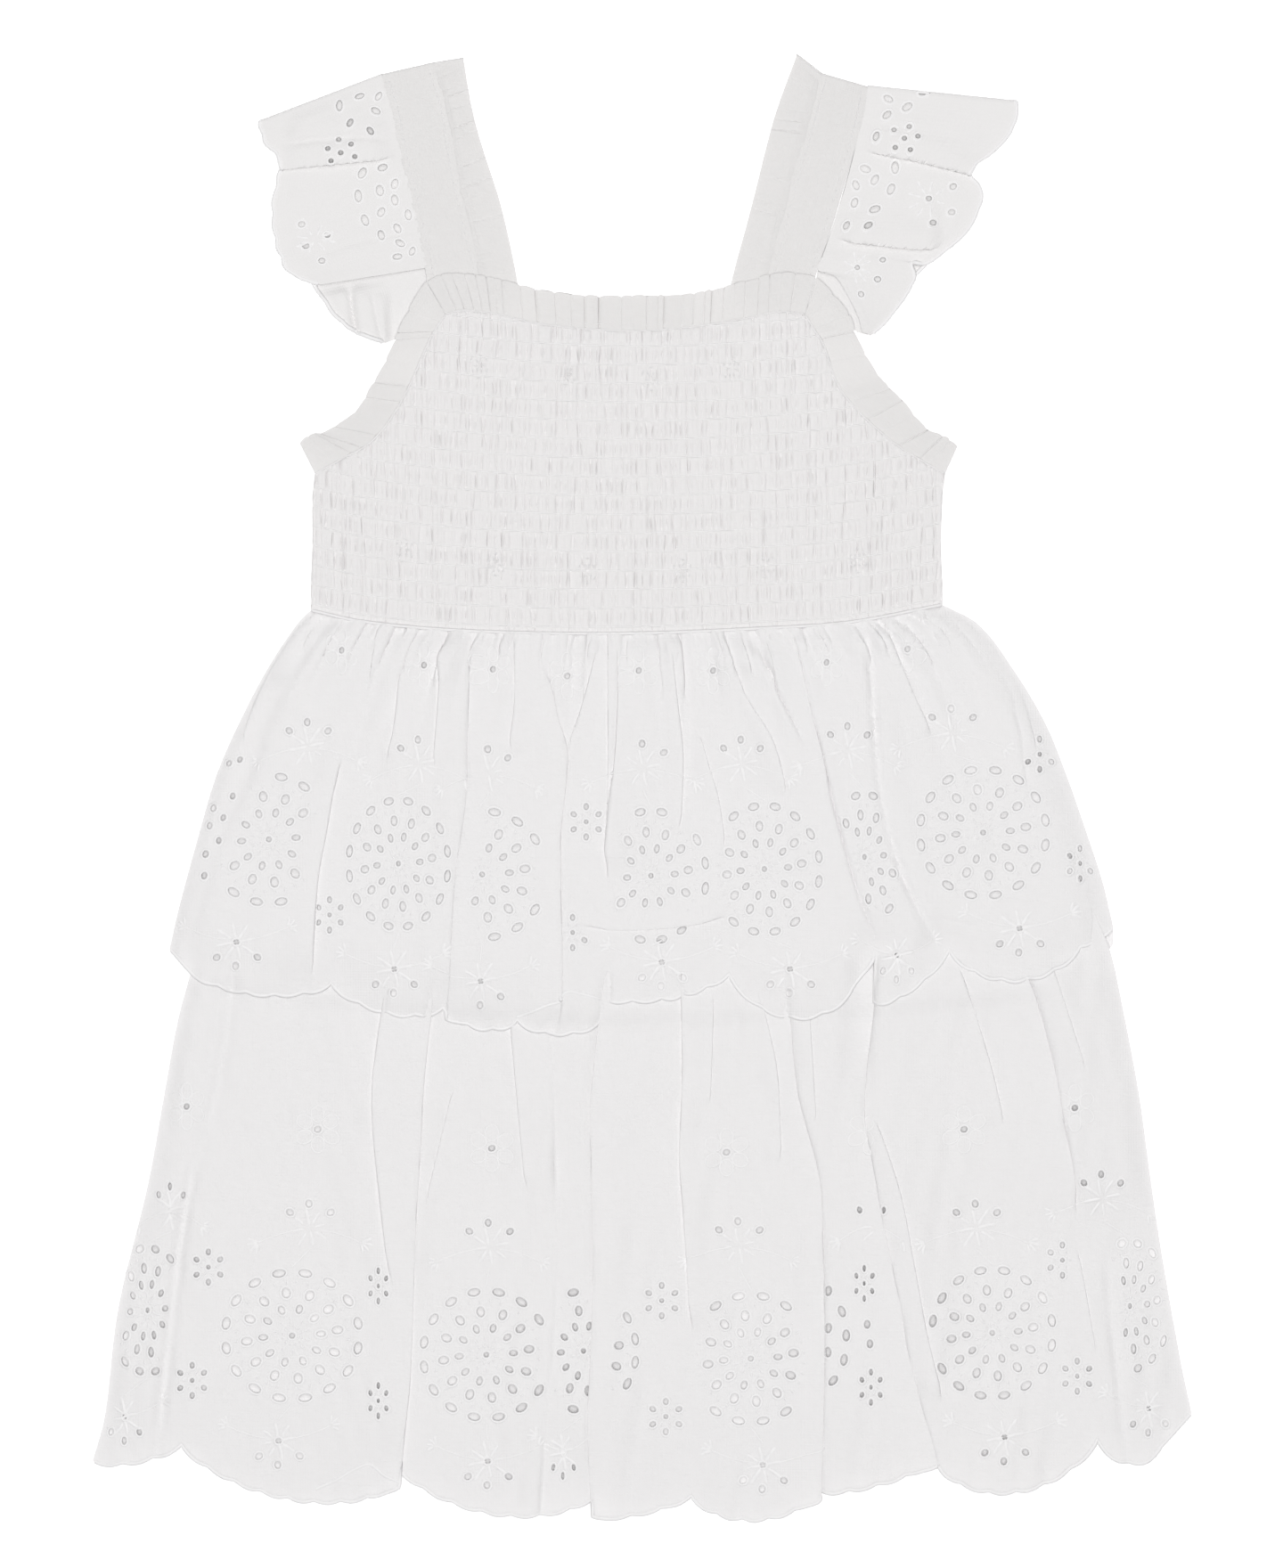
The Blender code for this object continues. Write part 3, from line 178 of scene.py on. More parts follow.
LOWER_FOLDS = [
    Fold("side_left", "down", [(-262, -180), (-239.5, -178.5), (-192, -173.5), (-152, -168),
        (-112, -157.5), (-60, -150)], 3.4, 3.2, 5.0, 13, 12),
    Fold("thin_left", "down", [(-190, -92), (-151, -96.5), (-124.5, -99), (-104.5, -98.5),
        (-60, -92)], 0.6, 2.8, 1.6, 9, 20, -2.0),
    Fold("valley_left", "down", [(-275, -91), (-250, -90), (-218.5, -87), (-165, -85),
        (-131, -83), (-104.5, -81.5), (-60, -76)], 2.6, 1.4, 2.0, 13, 6, 3.0),
    Fold("recess_left", "down", [(-280, -38), (-236.5, -35.5), (-203.5, -32.5), (-165, -31.5),
        (-121, -32.5), (-60, -35)], 2.0, 0.2, 2.6, 14, 6),
    Fold("recess_right", "down", [(-280, -16), (-236.5, -18), (-213.5, -17), (-177, -16),
        (-121, -17), (-98, -15), (-60, -11)], 0.6, 3.4, 2.2, 14, 6, -4.0),
    Fold("thin_middle", "down", [(-205, 19), (-184, 18), (-160.5, 16.5), (-137.5, 15),
        (-104.5, 16), (-60, 15)], 0.8, 2.6, 1.4, 8, 14, -2.0),
    Fold("valley_right", "down", [(-280, 65), (-210, 66.5), (-170.5, 66), (-144, 64.5),
        (-124.5, 59.5), (-109.5, 56), (-60, 52)], 2.4, 1.0, 2.2, 13, 6, 3.2),
    Fold("deep_right", "down", [(-275, 112), (-250, 108), (-217, 99), (-187, 93.5), (-164, 88.5),
        (-137.5, 84), (-121, 81), (-85, 85), (-60, 87)], 3.0, 1.2, 2.2, 14, 6, 3.4),
    Fold("step_right", "down", [(-165, 162), (-141, 158.5), (-123, 155), (-108, 152.5),
        (-91.5, 148.5), (-60, 140)], 2.6, 1.0, 2.2, 14, 20, 3.2),
    Fold("side_right", "down", [(-270, 184), (-250, 180), (-203.5, 175), (-170, 172)], 2.8, 2.2,
        4.0, 10, 20),
]


def slope_beside(fold, height=4.2, width=6.5):
    """Beside a fold that laps over, the cloth rises slowly out of its valley."""
    before, after = (0, height) if fold.lean > 0 else (height, 0)
    return Fold("slope", fold.runs, fold.path, before, after, width, 20, fold.fade)


UPPER_FOLDS += [slope_beside(fold, 2.2) for fold in UPPER_FOLDS if abs(fold.lean) > 3]
LOWER_FOLDS += [slope_beside(fold) for fold in LOWER_FOLDS if abs(fold.lean) > 3]
SLEEVE_FOLDS_LEFT = [
    Fold("upper", "across", [(-145, 229), (-125, 230.5), (-110, 232), (-88, 234)], 0.2, 3.2, 1.6,
        9, 4, -2.6),
    Fold("crown", "across", [(-134, 238), (-110, 240.5), (-86, 240)], 2.0, 2.4, 3.4, 8, 9),
    Fold("low", "across", [(-122, 196), (-100, 203), (-82, 206)], 0.8, 0.6, 2.4, 9, 14),
]
SLEEVE_TURNED = [
    Fold("turned", "down", [(160, -103), (172, -106.5), (192, -109)], 3.4, 3.0, 3.0, 8, 3),
    Fold("turned", "down", [(158, -94), (168, -97), (184, -100)], 2.2, 2.0, 2.0, 6, 4),
]
SLEEVE_FOLDS_RIGHT = [
    Fold("upper", "across", [(76, 237), (95, 234), (110, 230.5), (128, 226)], 0.2, 2.8, 1.6, 9,
        6, -2.4),
    Fold("crown", "across", [(80, 246), (100, 243), (125, 238)], 0.8, 0.6, 2.2, 8, 12),
    Fold("low", "across", [(68, 204), (85, 202), (100, 200.5), (112, 200)], 0.2, 3.2, 1.6, 9, 6,
        -2.8),
]

# Rings of eyelets: centre, radii of the ring, and the folds between which its cloth shows.
Medallion = namedtuple("Medallion", "x y rx ry left right")
UPPER_MEDALLIONS = table(Medallion,
    (-138, -19.5, 23.5, 23.5, "side_left", "soft_left"),
    (-90, -28.5, 18.5, 23.5, "soft_left", "valley_left"),
    (-59, -32.5, 23.5, 23.5, "valley_left", "valley_middle"),
    (3.5, -33, 20.5, 24, "thin_middle", None),
    (45.5, -30.5, 20.5, 23.5, None, "overlap_right"),
    (82.5, -26, 16.5, 23, "overlap_right", "valley_right"),
    (126.5, -17, 23.5, 23.5, "valley_right", None))
LOWER_MEDALLIONS = table(Medallion,
    (-183, -194, 15, 23, None, "side_left"),
    (-129.5, -203.5, 25, 23.5, "side_left", "valley_left"),
    (-57.5, -210.5, 23.5, 23.5, "valley_left", "recess_left"),
    (-21.5, -209, 19.5, 22, "recess_left", None),
    (40.5, -212, 23.5, 23.5, "thin_middle", "valley_right"),
    (130, -202.5, 22.5, 23.5, "deep_right", None),
    (181, -192.5, 15, 23.5, "side_right", None))


# Folded pieces, by rows from the shoulder down: the inner and the outer edge's points.
# A turn is the share of a piece's length that goes round the shoulder.
STRAP_TURN = 0.2
SLEEVE_TURN = 0.03
SLEEVE_LENGTH = 170.0
SLEEVE_WIDTH = 45.0
STRAP_LEFT = [
    ((-78, 267.5), (-95.5, 263.5)), ((-73, 252), (-91.5, 250)), ((-70.5, 235.5), (-89, 237)),
    ((-66.5, 215.5), (-84, 215.5)), ((-61, 191.5), (-79, 191.5)),
    ((-59.5, 177.4), (-77.5, 177.4))]
STRAP_RIGHT = [
    ((67.5, 263.5), (83, 259)), ((64, 252), (81.5, 250)), ((60.5, 238.5), (79, 240)),
    ((54, 215.5), (71.5, 214)), ((48, 190.5), (63.5, 189)), ((46, 177.4), (60.5, 177.4))]
STRAP_FRILL_LEFT = [
    ((-77.6, 267.6), (-66, 269.5)), ((-72.6, 252), (-63, 252)), ((-70.1, 235.5), (-59, 237)),
    ((-66.1, 215.5), (-52, 215)), ((-60.6, 191.5), (-46.5, 190)), ((-59.1, 177.4), (-45, 178))]
STRAP_FRILL_RIGHT = [
    ((67.1, 263.6), (57.5, 271)), ((63.6, 252), (50.5, 252)), ((60.1, 238.5), (46.5, 238)),
    ((53.6, 215.5), (40.5, 214)), ((47.6, 190.5), (34, 190)), ((45.6, 177.4), (31.5, 178))]
SLEEVE_FRONT_LEFT = [
    ((-96.2, 263.5), (-142, 246)), ((-94.3, 257), (-140, 239)), ((-92.0, 248.5), (-134, 232)),
    ((-89.6, 237), (-135, 226)), ((-87.4, 228.5), (-137, 215.5)),
    ((-84.4, 215.5), (-136.5, 205.5)), ((-82.4, 207), (-134.5, 197.5)),
    ((-80.7, 199), (-130.5, 190.5)), ((-79.4, 192.4), (-119.5, 186))]
SLEEVE_BACK_LEFT = [
    ((-96.2, 263.5), (-142, 246)), ((-92.2, 250), (-131, 232)), ((-89.4, 237), (-131, 222)),
    ((-84.4, 215.5), (-131, 203)), ((-80.2, 197), (-123, 188)), ((-79.8, 186), (-115, 176)),
    ((-82.5, 177), (-107, 169)), ((-88.5, 167), (-95, 164.5))]
SLEEVE_FRONT_RIGHT = [
    ((83.8, 259.2), (139.5, 253.5)), ((82.5, 250), (138.5, 244.5)), ((80, 240), (129.5, 234.5)),
    ((77.6, 230), (121.5, 228.5)), ((75.3, 221.5), (125.5, 223)), ((72.9, 214), (126, 215)),
    ((70.6, 207), (119, 204)), ((68.5, 200.5), (107, 194.5)), ((67.2, 197), (100.5, 194)),
    ((65.4, 191.5), (101.5, 188)), ((72.5, 188.5), (96.5, 180)), ((79.8, 175.5), (91, 173)),
    ((81.8, 168.5), (85, 167.5))]
SLEEVE_BACK_RIGHT = [
    ((83.8, 259.2), (139.5, 253.5)), ((82, 249), (134, 245)), ((80, 240), (119, 230)),
    ((72.9, 214), (121, 212)), ((65.4, 191.5), (99, 186)), ((66, 184), (93, 176)),
    ((72, 176), (88, 170.5)), ((80, 168.5), (84, 167.5))]


def fine_fold(runs, height, *path):
    """A low fold of one width. Those that run down lean a little, away from the middle."""
    low, high, lean = 0.6 * height, 2.0 * height, 1.2
    if runs == "across":
        return Fold("fine", runs, list(path), low, low, 1.6, 5, 7)
    if path[0][1] < 0:
        return Fold("fine", runs, list(path), low, high, 1.0, 5, 7, -lean)
    return Fold("fine", runs, list(path), high, low, 1.0, 5, 7, lean)


def fine_folds(runs, *rows):
    """Low folds from rows of a height and the points of a path."""
    return [fine_fold(runs, *row) for row in rows]


UPPER_CREASES = fine_folds(
    "down",
    (0.7, (14, -148.5), (30.5, -143.5), (44, -137), (57, -128.5), (63.5, -122)),
    (0.5, (36, -101), (49, -99), (62, -97)),
    (0.6, (8, -95), (21, -91.5), (45, -89)),
    (0.7, (6, -77), (30.5, -75), (54, -73.5)),
    (0.6, (12, -49), (34, -46.5), (60, -47)),
    (0.6, (12, -28), (30.5, -21.5), (52, -16)),
    (0.6, (-30, -13), (0, -12), (30, -12), (60, -12)),
    (0.8, (-17, 14), (11, 15), (30.5, 13), (53, 10.5)),
    (0.9, (32, 16), (46, 15), (58, 14)),
    (0.5, (-24, 31), (-4, 28), (6, 25), (22, 20.5)),
    (0.9, (-4, 54), (17.5, 48), (34, 38), (58, 29.5)),
    (0.8, (18, 108), (37.5, 99), (61, 89.5)),
    (0.7, (12, 147), (37.5, 139.5), (60, 125)),
)
UPPER_CREASES += fine_folds(
    "across",
    (0.6, (104, -36), (132, -40.5), (160, -44)),
    (0.6, (106, -48), (132, -52), (160, -48)),
)
LOWER_CREASES = fine_folds(
    "down",
    (0.8, (-228, 111.5), (-203.5, 105.5), (-177, 100.5), (-151, 95.5), (-122, 86)),
    (0.7, (-127, 134.5), (-101.5, 128.5), (-65, 117)),
    (0.6, (-107, 165), (-71.5, 153.5), (-60, 150)),
    (0.5, (-127, 64.5), (-86.5, 62), (-70, 61)),
    (0.7, (-140, 51.5), (-104.5, 49.5), (-76, 43.5)),
    (0.5, (-120, 25), (-75, 26.5)),
    (0.6, (-150, -42.5), (-118, -45.5), (-84, -48.5)),
    (0.6, (-156, -80), (-124.5, -72.5), (-110, -69)),
    (0.6, (-212, 168.5), (-186.5, 164), (-170, 161)),
)
LOWER_CREASES += fine_folds(
    "across",
    (0.5, (-18, -139), (0, -121), (18, -105)),
)

# A round of eyelets, from the outside in: how many, how far out as a share of the medallion,
# their size, whether they lie along the round or point outwards, and where the first one is.
Ring = namedtuple("Ring", "count radius length width runs start")
RINGS = table(Ring,
    (16, 1.0, 4.7, 2.9, "round", 0.5),
    (12, 0.68, 3.9, 3.0, "out", 0.25),
    (10, 0.43, 3.3, 2.3, "out", 0.1),
    (1, 0.0, 2.0, 2.0, "round", 0.0))
# Rings of satin leaves in a medallion: how far out, how many and how long.
LEAF_RINGS = ((0.14, 12, 1.5), (0.25, 10, 3.2), (0.84, 32, 2.0))
# Eyelets of a star: turn from upright in degrees, and distance.
STAR_EYELETS = ((-54, 9.6), (2, 8.9), (52, 9.3))
SPROUT_TURNS = (-0.9, -0.3, 0.3, 0.9)
FLOWER_RADIUS = 5.6
STEM_LENGTH = 15.0
STEM_DROP = 4.5

# Stars: place, how much their cloth is gathered, and the side their eyelets are on.
Mark = namedtuple("Mark", "x y squeeze side")


def stars_at(side, rows):
    """Stars whose eyelets are all towards the waist or along the hem."""
    return [Mark(*row, side) for row in rows]


UPPER_STARS = stars_at("waist", [
    (-123.5, 15, 0.95), (-82.5, 8.5, 0.9), (-56.5, 5, 0.9), (0.5, 7, 1.0), (37, 8.5, 0.9),
    (76.5, 13.5, 0.9), (115, 20, 1.0)]) + stars_at("hem", [
    (-150, -57.5, 1.0), (-91.5, -67.5, 0.95), (-59.5, -72, 0.95), (7.5, -65, 1.0),
    (55, -67.5, 1.0), (94.5, -62.5, 0.7), (140, -52.5, 1.0)])
LOWER_STARS = stars_at("waist", [
    (-174.5, -157, 0.6), (-123, -163.5, 1.0), (-56.5, -170.5, 1.0), (36, -170, 1.0),
    (85, -162.5, 0.6), (124, -163.5, 1.0), (170.5, -152.5, 0.9)]) + stars_at("hem", [
    (-191.5, -233.5, 0.7), (-134.5, -242.5, 1.0), (-57, -250, 1.0), (-29, -246.5, 0.5),
    (45, -251.5, 1.0), (134.5, -241, 1.0), (188, -230.5, 0.8)])
# Small flowers of six eyelets, and flowers of six stitched petals: place and gathering.
UPPER_SMALL = [
    (-20.5, -13, 0.95), (-25.5, -54, 0.9), (147.5, 12, 0.9), (162.5, -28.5, 0.8),
    (-115.5, -47.5, 0.85)]
LOWER_SMALL = [
    (-160.5, -178, 0.9), (-97.5, -185, 0.6), (7.5, -190.5, 1.0), (82.5, -184, 0.6),
    (156, -175.5, 0.9), (-166.5, -220, 0.9), (-97.5, -227.5, 0.6), (9, -233.5, 1.0),
    (85, -222.5, 0.7), (161.5, -218.5, 0.9)]
UPPER_PETALS = [
    (-111, 50.5, 0.7), (-80.5, 45, 0.75), (-55, 43.5, 0.75), (-27.5, 41, 0.8), (-1, 43, 0.8),
    (26.5, 43, 0.75), (68.5, 46, 0.7), (98.5, 51, 0.8)]
LOWER_PETALS = [
    (-168.5, -118.5, 0.8), (-120, -127, 1.0), (-55.5, -134, 1.0), (31.5, -135.5, 1.0),
    (81, -127.5, 0.6), (119.5, -127, 1.0), (160.5, -119, 0.9)]

# The hem of the cloth that lies over a fold of the same hem.
UPPER_HEM_BEHIND = [
    (-46, -85.4), (-37.6, -82.2), (-31.2, -78.6), (-27.5, -76), (-22.4, -76.6), (-15.2, -78.6)]
LOWER_HEM_BEHIND = [
    (-120.8, -260.4), (-113, -257), (-107, -253.4), (-101, -251.2), (-96.6, -254.4),
    (-92.6, -258)]

# Eyelets of the medallions that fold away beside the lower tier's deepest folds.
LOWER_FOLD_EYELETS = [
    (69.2, -186.8, 3.8, 2.6, 80), (69.2, -200.6, 3.8, 2.6, 80), (69.0, -209.5, 3.8, 2.6, 90),
    (74.2, -194.4, 4.4, 2.7, 110), (75.8, -203.3, 4.4, 2.7, 90), (75.0, -212.3, 4.4, 2.7, 80),
    (71, -220, 4.4, 2.7, 50), (64.4, -224.6, 4.0, 2.6, 70), (85, -182, 3.6, 2.6, 20),
    (88, -191.3, 3.8, 2.8, 70), (83.6, -199.2, 3.2, 2.3, 90), (90.4, -200.6, 4.0, 2.9, 20),
    (84.6, -206.4, 3.2, 2.3, 90), (91, -209.5, 3.6, 2.9, 70), (86, -216.7, 3.0, 2.3, 90),
    (93, -219.5, 4.2, 2.6, 40)]

# Eyelets of the medallion that folds round the upper tier's left side.
UPPER_SIDE_EYELETS = [
    (-152.8, 8.6, 2.4, 1.9, 60), (-148.8, 10, 2.4, 1.9, 60), (-151.5, -3.5, 2.6, 2.0, 80),
    (-158.6, -8, 2.8, 2.2, 70), (-155, -11.5, 2.6, 2.0, 70), (-160, -14.5, 2.6, 2.0, 80),
    (-156.6, -20, 2.6, 2.0, 80), (-161.5, -25, 2.8, 2.2, 70), (-162, -33, 2.8, 2.2, 70)]

# The sleeves' eyelets where they lie: place, length, width and turn in degrees. They
# belong to the same medallions and stars, gathered into the strap.
SLEEVE_EYELETS_LEFT = [
    (-112, 252.5, 4.4, 2.4, 90), (-103.5, 227.5, 4.4, 2.8, 60), (-105, 219, 4.6, 2.7, 95),
    (-102.5, 210, 4.4, 2.7, 110), (-97, 221, 4.1, 2.9, 100),
    (-97.5, 256, 3.6, 2.2, 60), (-98.5, 250.5, 3.8, 2.4, 150), (-104.5, 256, 3.6, 2.2, 20),
    (-108, 246, 3.4, 2.2, 60), (-100.5, 243, 3.4, 2.2, 130), (-96, 229.5, 3.8, 2.6, 20),
    (-91.5, 223.5, 3.8, 2.5, 70), (-91.5, 217.5, 4.0, 2.6, 100), (-96.5, 213, 3.8, 2.6, 60),
    (-86.5, 212, 4.0, 2.4, 100), (-90.5, 207, 3.8, 2.5, 120), (-96.5, 204.5, 3.8, 2.5, 110),
    (-89.5, 201.5, 3.8, 2.4, 150), (-90.5, 196.5, 3.6, 2.3, 10), (-85, 198.5, 3.4, 2.2, 70),
    (-112.2, 239.8, 2.1, 1.9, 0), (-116.2, 236.4, 2.1, 1.9, 0), (-107.6, 238, 2.1, 1.9, 0),
    (-111.4, 234.8, 2.1, 1.9, 0), (-106.2, 233.4, 2.0, 1.8, 0), (-115, 231.8, 2.0, 1.8, 0),
    (-126, 208.5, 2.6, 2.2, 20), (-124.5, 200.5, 2.6, 2.2, 0), (-116.5, 204.5, 2.4, 2.0, 0),
    (-118.5, 195, 2.6, 2.2, 0)]
SLEEVE_EYELETS_RIGHT = [
    (98.5, 252, 4.2, 2.6, 35), (94, 229.5, 4.6, 2.8, 90), (92.5, 221.5, 4.4, 2.7, 65),
    (86.5, 214, 4.4, 2.7, 20), (83, 229, 4.2, 2.7, -20),
    (104.5, 257.5, 3.8, 2.3, 20), (91.5, 255, 3.8, 2.4, 150), (91, 249, 3.8, 2.4, 40),
    (87, 241, 3.6, 2.3, 70), (87, 235.5, 3.8, 2.4, 20), (86.5, 225, 4.2, 2.6, 60),
    (79.5, 223, 3.8, 2.4, 110), (79, 216.5, 3.8, 2.5, 70), (84, 208, 3.6, 2.3, 30),
    (76, 208, 3.4, 2.2, 60), (93.6, 243.4, 2.0, 1.8, 0), (99.2, 244.6, 2.0, 1.8, 0),
    (102.4, 241, 2.0, 1.8, 0), (97.4, 240.2, 2.0, 1.8, 0), (99.6, 236, 2.0, 1.8, 0),
    (94, 236.8, 2.0, 1.8, 0), (80, 192.5, 2.0, 1.8, 0), (87.5, 188.1, 2.7, 2.3, 0),
    (81.4, 182.6, 2.7, 2.3, 0), (106.5, 218, 2.2, 2.0, 0), (115.5, 222.5, 2.8, 2.3, 30),
    (115, 213, 2.6, 2.2, 0), (108, 209, 2.6, 2.2, 0), (89.4, 195.4, 2.6, 2.2, 0)]
# A star of satin rays on each sleeve, where it lies.
SLEEVE_STARS_LEFT = [(-121, 203)]
SLEEVE_STARS_RIGHT = [(106, 218), (80, 192.5)]

# Flowers caught in the shirring.
BODICE_FLOWERS = [
    (-60, 156), (-28, 152.5), (3.5, 151), (33.5, 154.5), (-88, 88), (-54, 82), (-20, 80),
    (15, 80), (46, 82), (80, 84)]

# Where the folds of the neck's front frill lie, and whether a fold there is deep.
NECK_FOLDS = [
    -68.5, -65.5, -62, -59, -56, -53.5, -51, -44, -38.5, -31.5, -26, -21, -16, -7.5, -3.5, 2, 6,
    8, 15, 19, 23, 25.5, 30, 34, 38, 43, 47, 51, 55]
NECK_DEEP = {-16: 1.0, -21: 0.7, 8: 0.8, 23: 1.0, 25.5: 0.8, -38.5: 0.7, 15: 0.7, -56: 0.6}

# How the cloth's fine form differs from the solids: sharper creases, uneven along their run.
CREASE_SHARPNESS = 0.62
CREASE_POWER = 1.35
CREASE_UNEVEN = 0.45
# Where a fold that leans is steepest, as a share of its crease, and how far off it an eyelet
# stays. It also stays off the valley of any crease as sharp as this.
LEAN_CENTRE = 1.1
LEAN_CLEAR = 1.3
SHARP_CREASE = 2.3

# Spacing of the points of the cloth: under the waist, where it shows, along a crease, on the
# back and where it is hidden.
WAIST_STEP = 1.15
FINE_STEP = 1.65
CREASE_STEP = 1.35
SLEEVE_STEP = 1.05
BACK_STEP_LENGTH = 3.2
HIDDEN_STEP = 5.0
# Points across a crease, as shares of its width, and how far from it they end.
CREASE_SHARES = (-1.6, -1.15, -0.8, -0.5, -0.25, 0, 0.25, 0.5, 0.8, 1.15, 1.6)
CREASE_ZONE = 1.9
WIDEST_CREASE = 3.2
# Room between the points and an edge, an eyelet and one another.
EDGE_ROOM = 0.55
RIM_ROOM = 0.4
POINT_ROOM = 0.24

# Gathers: how deep, how many, and the least and most that one reaches down.
GATHER_HEIGHT = 0.5
GATHER_REACH = 26.0
FINE_DEPTH, FINE_GATHERS, FINE_REACH = 1.5, 88, (7, 20)
LONG_DEPTH, LONG_GATHERS, LONG_REACH = 2.2, 27, (22, 75)
LOWER_DEPTH, LOWER_GATHERS, LOWER_REACH = 0.5, 31, (40, 160)
SLEEVE_DEPTH, SLEEVE_GATHERS, SLEEVE_REACH = 0.5, 16, (5, 13)
LOWER_GATHERS_FROM = 60.0

# The waist seam, and the room that pieces leave to a seam they are sewn into.
SEAM_CLEARANCE = 0.15
SEAM_RADIUS = 0.6
SEAM_HEIGHT = 4.6

# The upper tier's hem: how far over the lower tier it rests, how wide its turn down to it is,
# how much higher the cloth lies above it, and the air that is left between the two tiers.
HEM_LIFT = 0.6
HEM_DROP = 13.0
HEM_RISE = 2.6
UNDER_GAP = 2.0
# A hollow in the lower tier beside its deepest folds.
PIT_X, PIT_HALF, PIT_DEPTH = 81.5, 4.6, 0.85
PIT_LOW, PIT_FADE = -135.0, 30.0

# The sleeves' small scallops, and where the left one's back shows past its front.
SLEEVE_SCALLOP = 9.5
SLEEVE_SCALLOP_DEPTH = 0.7
PAST_FRONT_X, PAST_FRONT_Y, PAST_FRONT_RISE, PAST_FRONT_SOFT = -92.0, 204.0, 0.16, 4.0

# Needlework: radius of the rims, lines and hem edge, how deep they sink in the cloth, and the
# height of a satin leaf. An eyelet or a leaf is left out that would come nearer to an edge
# than its margin, to a crease where the cloth isn't open, or to another eyelet.
RIM = 0.6
RIM_OUT = 0.58
RIM_SINKS = -0.24
EYELET_GAP = 1.1
PANEL_MARGIN = 0.75
SLEEVE_MARGIN = 0.7
LEAF_MARGIN = 0.8
CREASE_MARGIN = 2.6
FOLD_SHOWS = 0.2
HEM_INSET = 0.4
LINE_RADIUS = 0.5
LINE_SINKS = -0.15
HEM_RADIUS = 0.85
HEM_SINKS = -0.35
LEAF_HEIGHT = 0.36
LEAF_LIFT = 0.14

# Shirring: gathers across the bodice, stitched rows, and shares of the height they lie at.
SHIRRING_GATHERS = 126
SHIRRING_ROWS = 16
SHIRRING_FIRST = 0.0212
SHIRRING_PITCH = 0.0613
# Points between two rows, and across a gather with their share of its height.
BAND_STEPS = (0, 0.15, 0.33, 0.5, 0.67, 0.85)
GATHER_SHAPE = ((-0.17, 0.88), (0, 0), (0.17, 0.88), (0.5, 1.0))
# The underside of the front, and heights over it: a stitched row, the puffed cloth, the edge.
FLOOR = 2.35
ROW_HEIGHT = 2.1
PUFF_HEIGHT = 2.85
EDGE_HEIGHT = 1.75
SLIT_DEPTH = 1.3
EDGE_ROLL, EDGE_ROLL_REACH = 0.5, 0.9
BODICE_BACK_TOP = 1.9
# Stitched rows, and the flowers with the dimple under each.
ROW_RADIUS = 0.24
ROW_MARGIN = 0.8
PETAL_SIZE = (2.2, 0.7, 0.5)
DIMPLE_DEPTH, DIMPLE_REACH = 0.9, 0.9

# Frills: shape of one pleat, and how high, long and uneven they are.
PLEAT_SHAPE = ((0, 0), (0.05, 0.35), (0.12, 0.66), (0.25, 0.9), (0.42, 1), (0.6, 1), (0.78, 0.94),
               (0.9, 0.78), (0.96, 0.5))
ARMHOLE_PLEATS = 12
STRAP_PLEATS = 14
STRAP_SLANT = 0.035
STRAP_OVER = 0.06
FRILL_BASE = 3.2
NECK_HEIGHT = 1.7
ARMHOLE_HEIGHT = 1.3
STRAP_FRILL_HEIGHT = 1.3
FRILL_POKE = 0.8
FRILL_FADES = 1.6
FRILL_DROPS = 1.1
SEAM_CORD = 0.5
CORD_SINKS = 0.2
FRILL_LENGTH, FRILL_WIDTH = 220.0, 12.0
END_DEEP = 0.1
NECK_SHALLOW = 0.42
ARMHOLE_SHALLOW = 0.7
BACK_PLEATS, BACK_HEIGHT = 8, 0.2

# Machine stitches on a strap: places of the rows across it, run and count, size of a stitch.
STITCH_ROWS = (0.08, 0.92)
STITCH_RUN = (0.03, 0.385, 34)
STITCH_SIZE = (1.9, 0.34, 0.22)

# Colours.
EYELET_COLOUR = (0.82, 0.808, 0.81)
# The sleeves' cloth is the tiers' eyelet cloth made darker: painted shade for the weaker light at
# the top of the dress.
SLEEVE_SHADED_COLOUR = (0.79, 0.778, 0.775)
# The shirred cloth is darker than the eyelet cloth: partly its own tone, partly painted shade for
# the weaker light over the bodice.
SHIRRED_TONE_AND_SHADE_COLOUR = (0.785, 0.772, 0.771)
# The plain cloth is darker still: partly its own tone, partly painted shade for the weaker light
# on the straps and frills at the top.
PLAIN_TONE_AND_SHADE_COLOUR = (0.76, 0.747, 0.741)
THREAD_COLOUR = (0.85, 0.841, 0.843)

# Weave: threads a metre, how the slubs are stretched both ways, and relief in metres.
THREADS = 320.0
SLUB_SCALES = ((2200, 160, 1), (150, 1900, 1))
WEAVE_RELIEF = 0.00012
SLUB_RELIEF = 0.0003
THREAD_RELIEF = 0.0001

# Floor, light and view, in metres.
FLOOR_HALF = 4.0
FLOOR_GLOW = 0.38
WORLD_LIGHT = 0.19
# Lights: name, place, size and power.
LIGHTS = (("key", (-0.1, 1.0, 2.3), 1.2, 11.0), ("overhead", (0.0, -0.2, 3.6), 1.5, 98.0))
CAMERA_HEIGHT = 3.0
GARMENT_HEIGHT = 0.005
FIELD_HEIGHT = 0.5808
CAMERA_Y = 0.00099


# --- curves and fields

def soft_step(value):
    """0 below 0, 1 above 1, and a soft S between."""
    value = np.clip(value, 0.0, 1.0)
    return value * value * (3 - 2 * value)


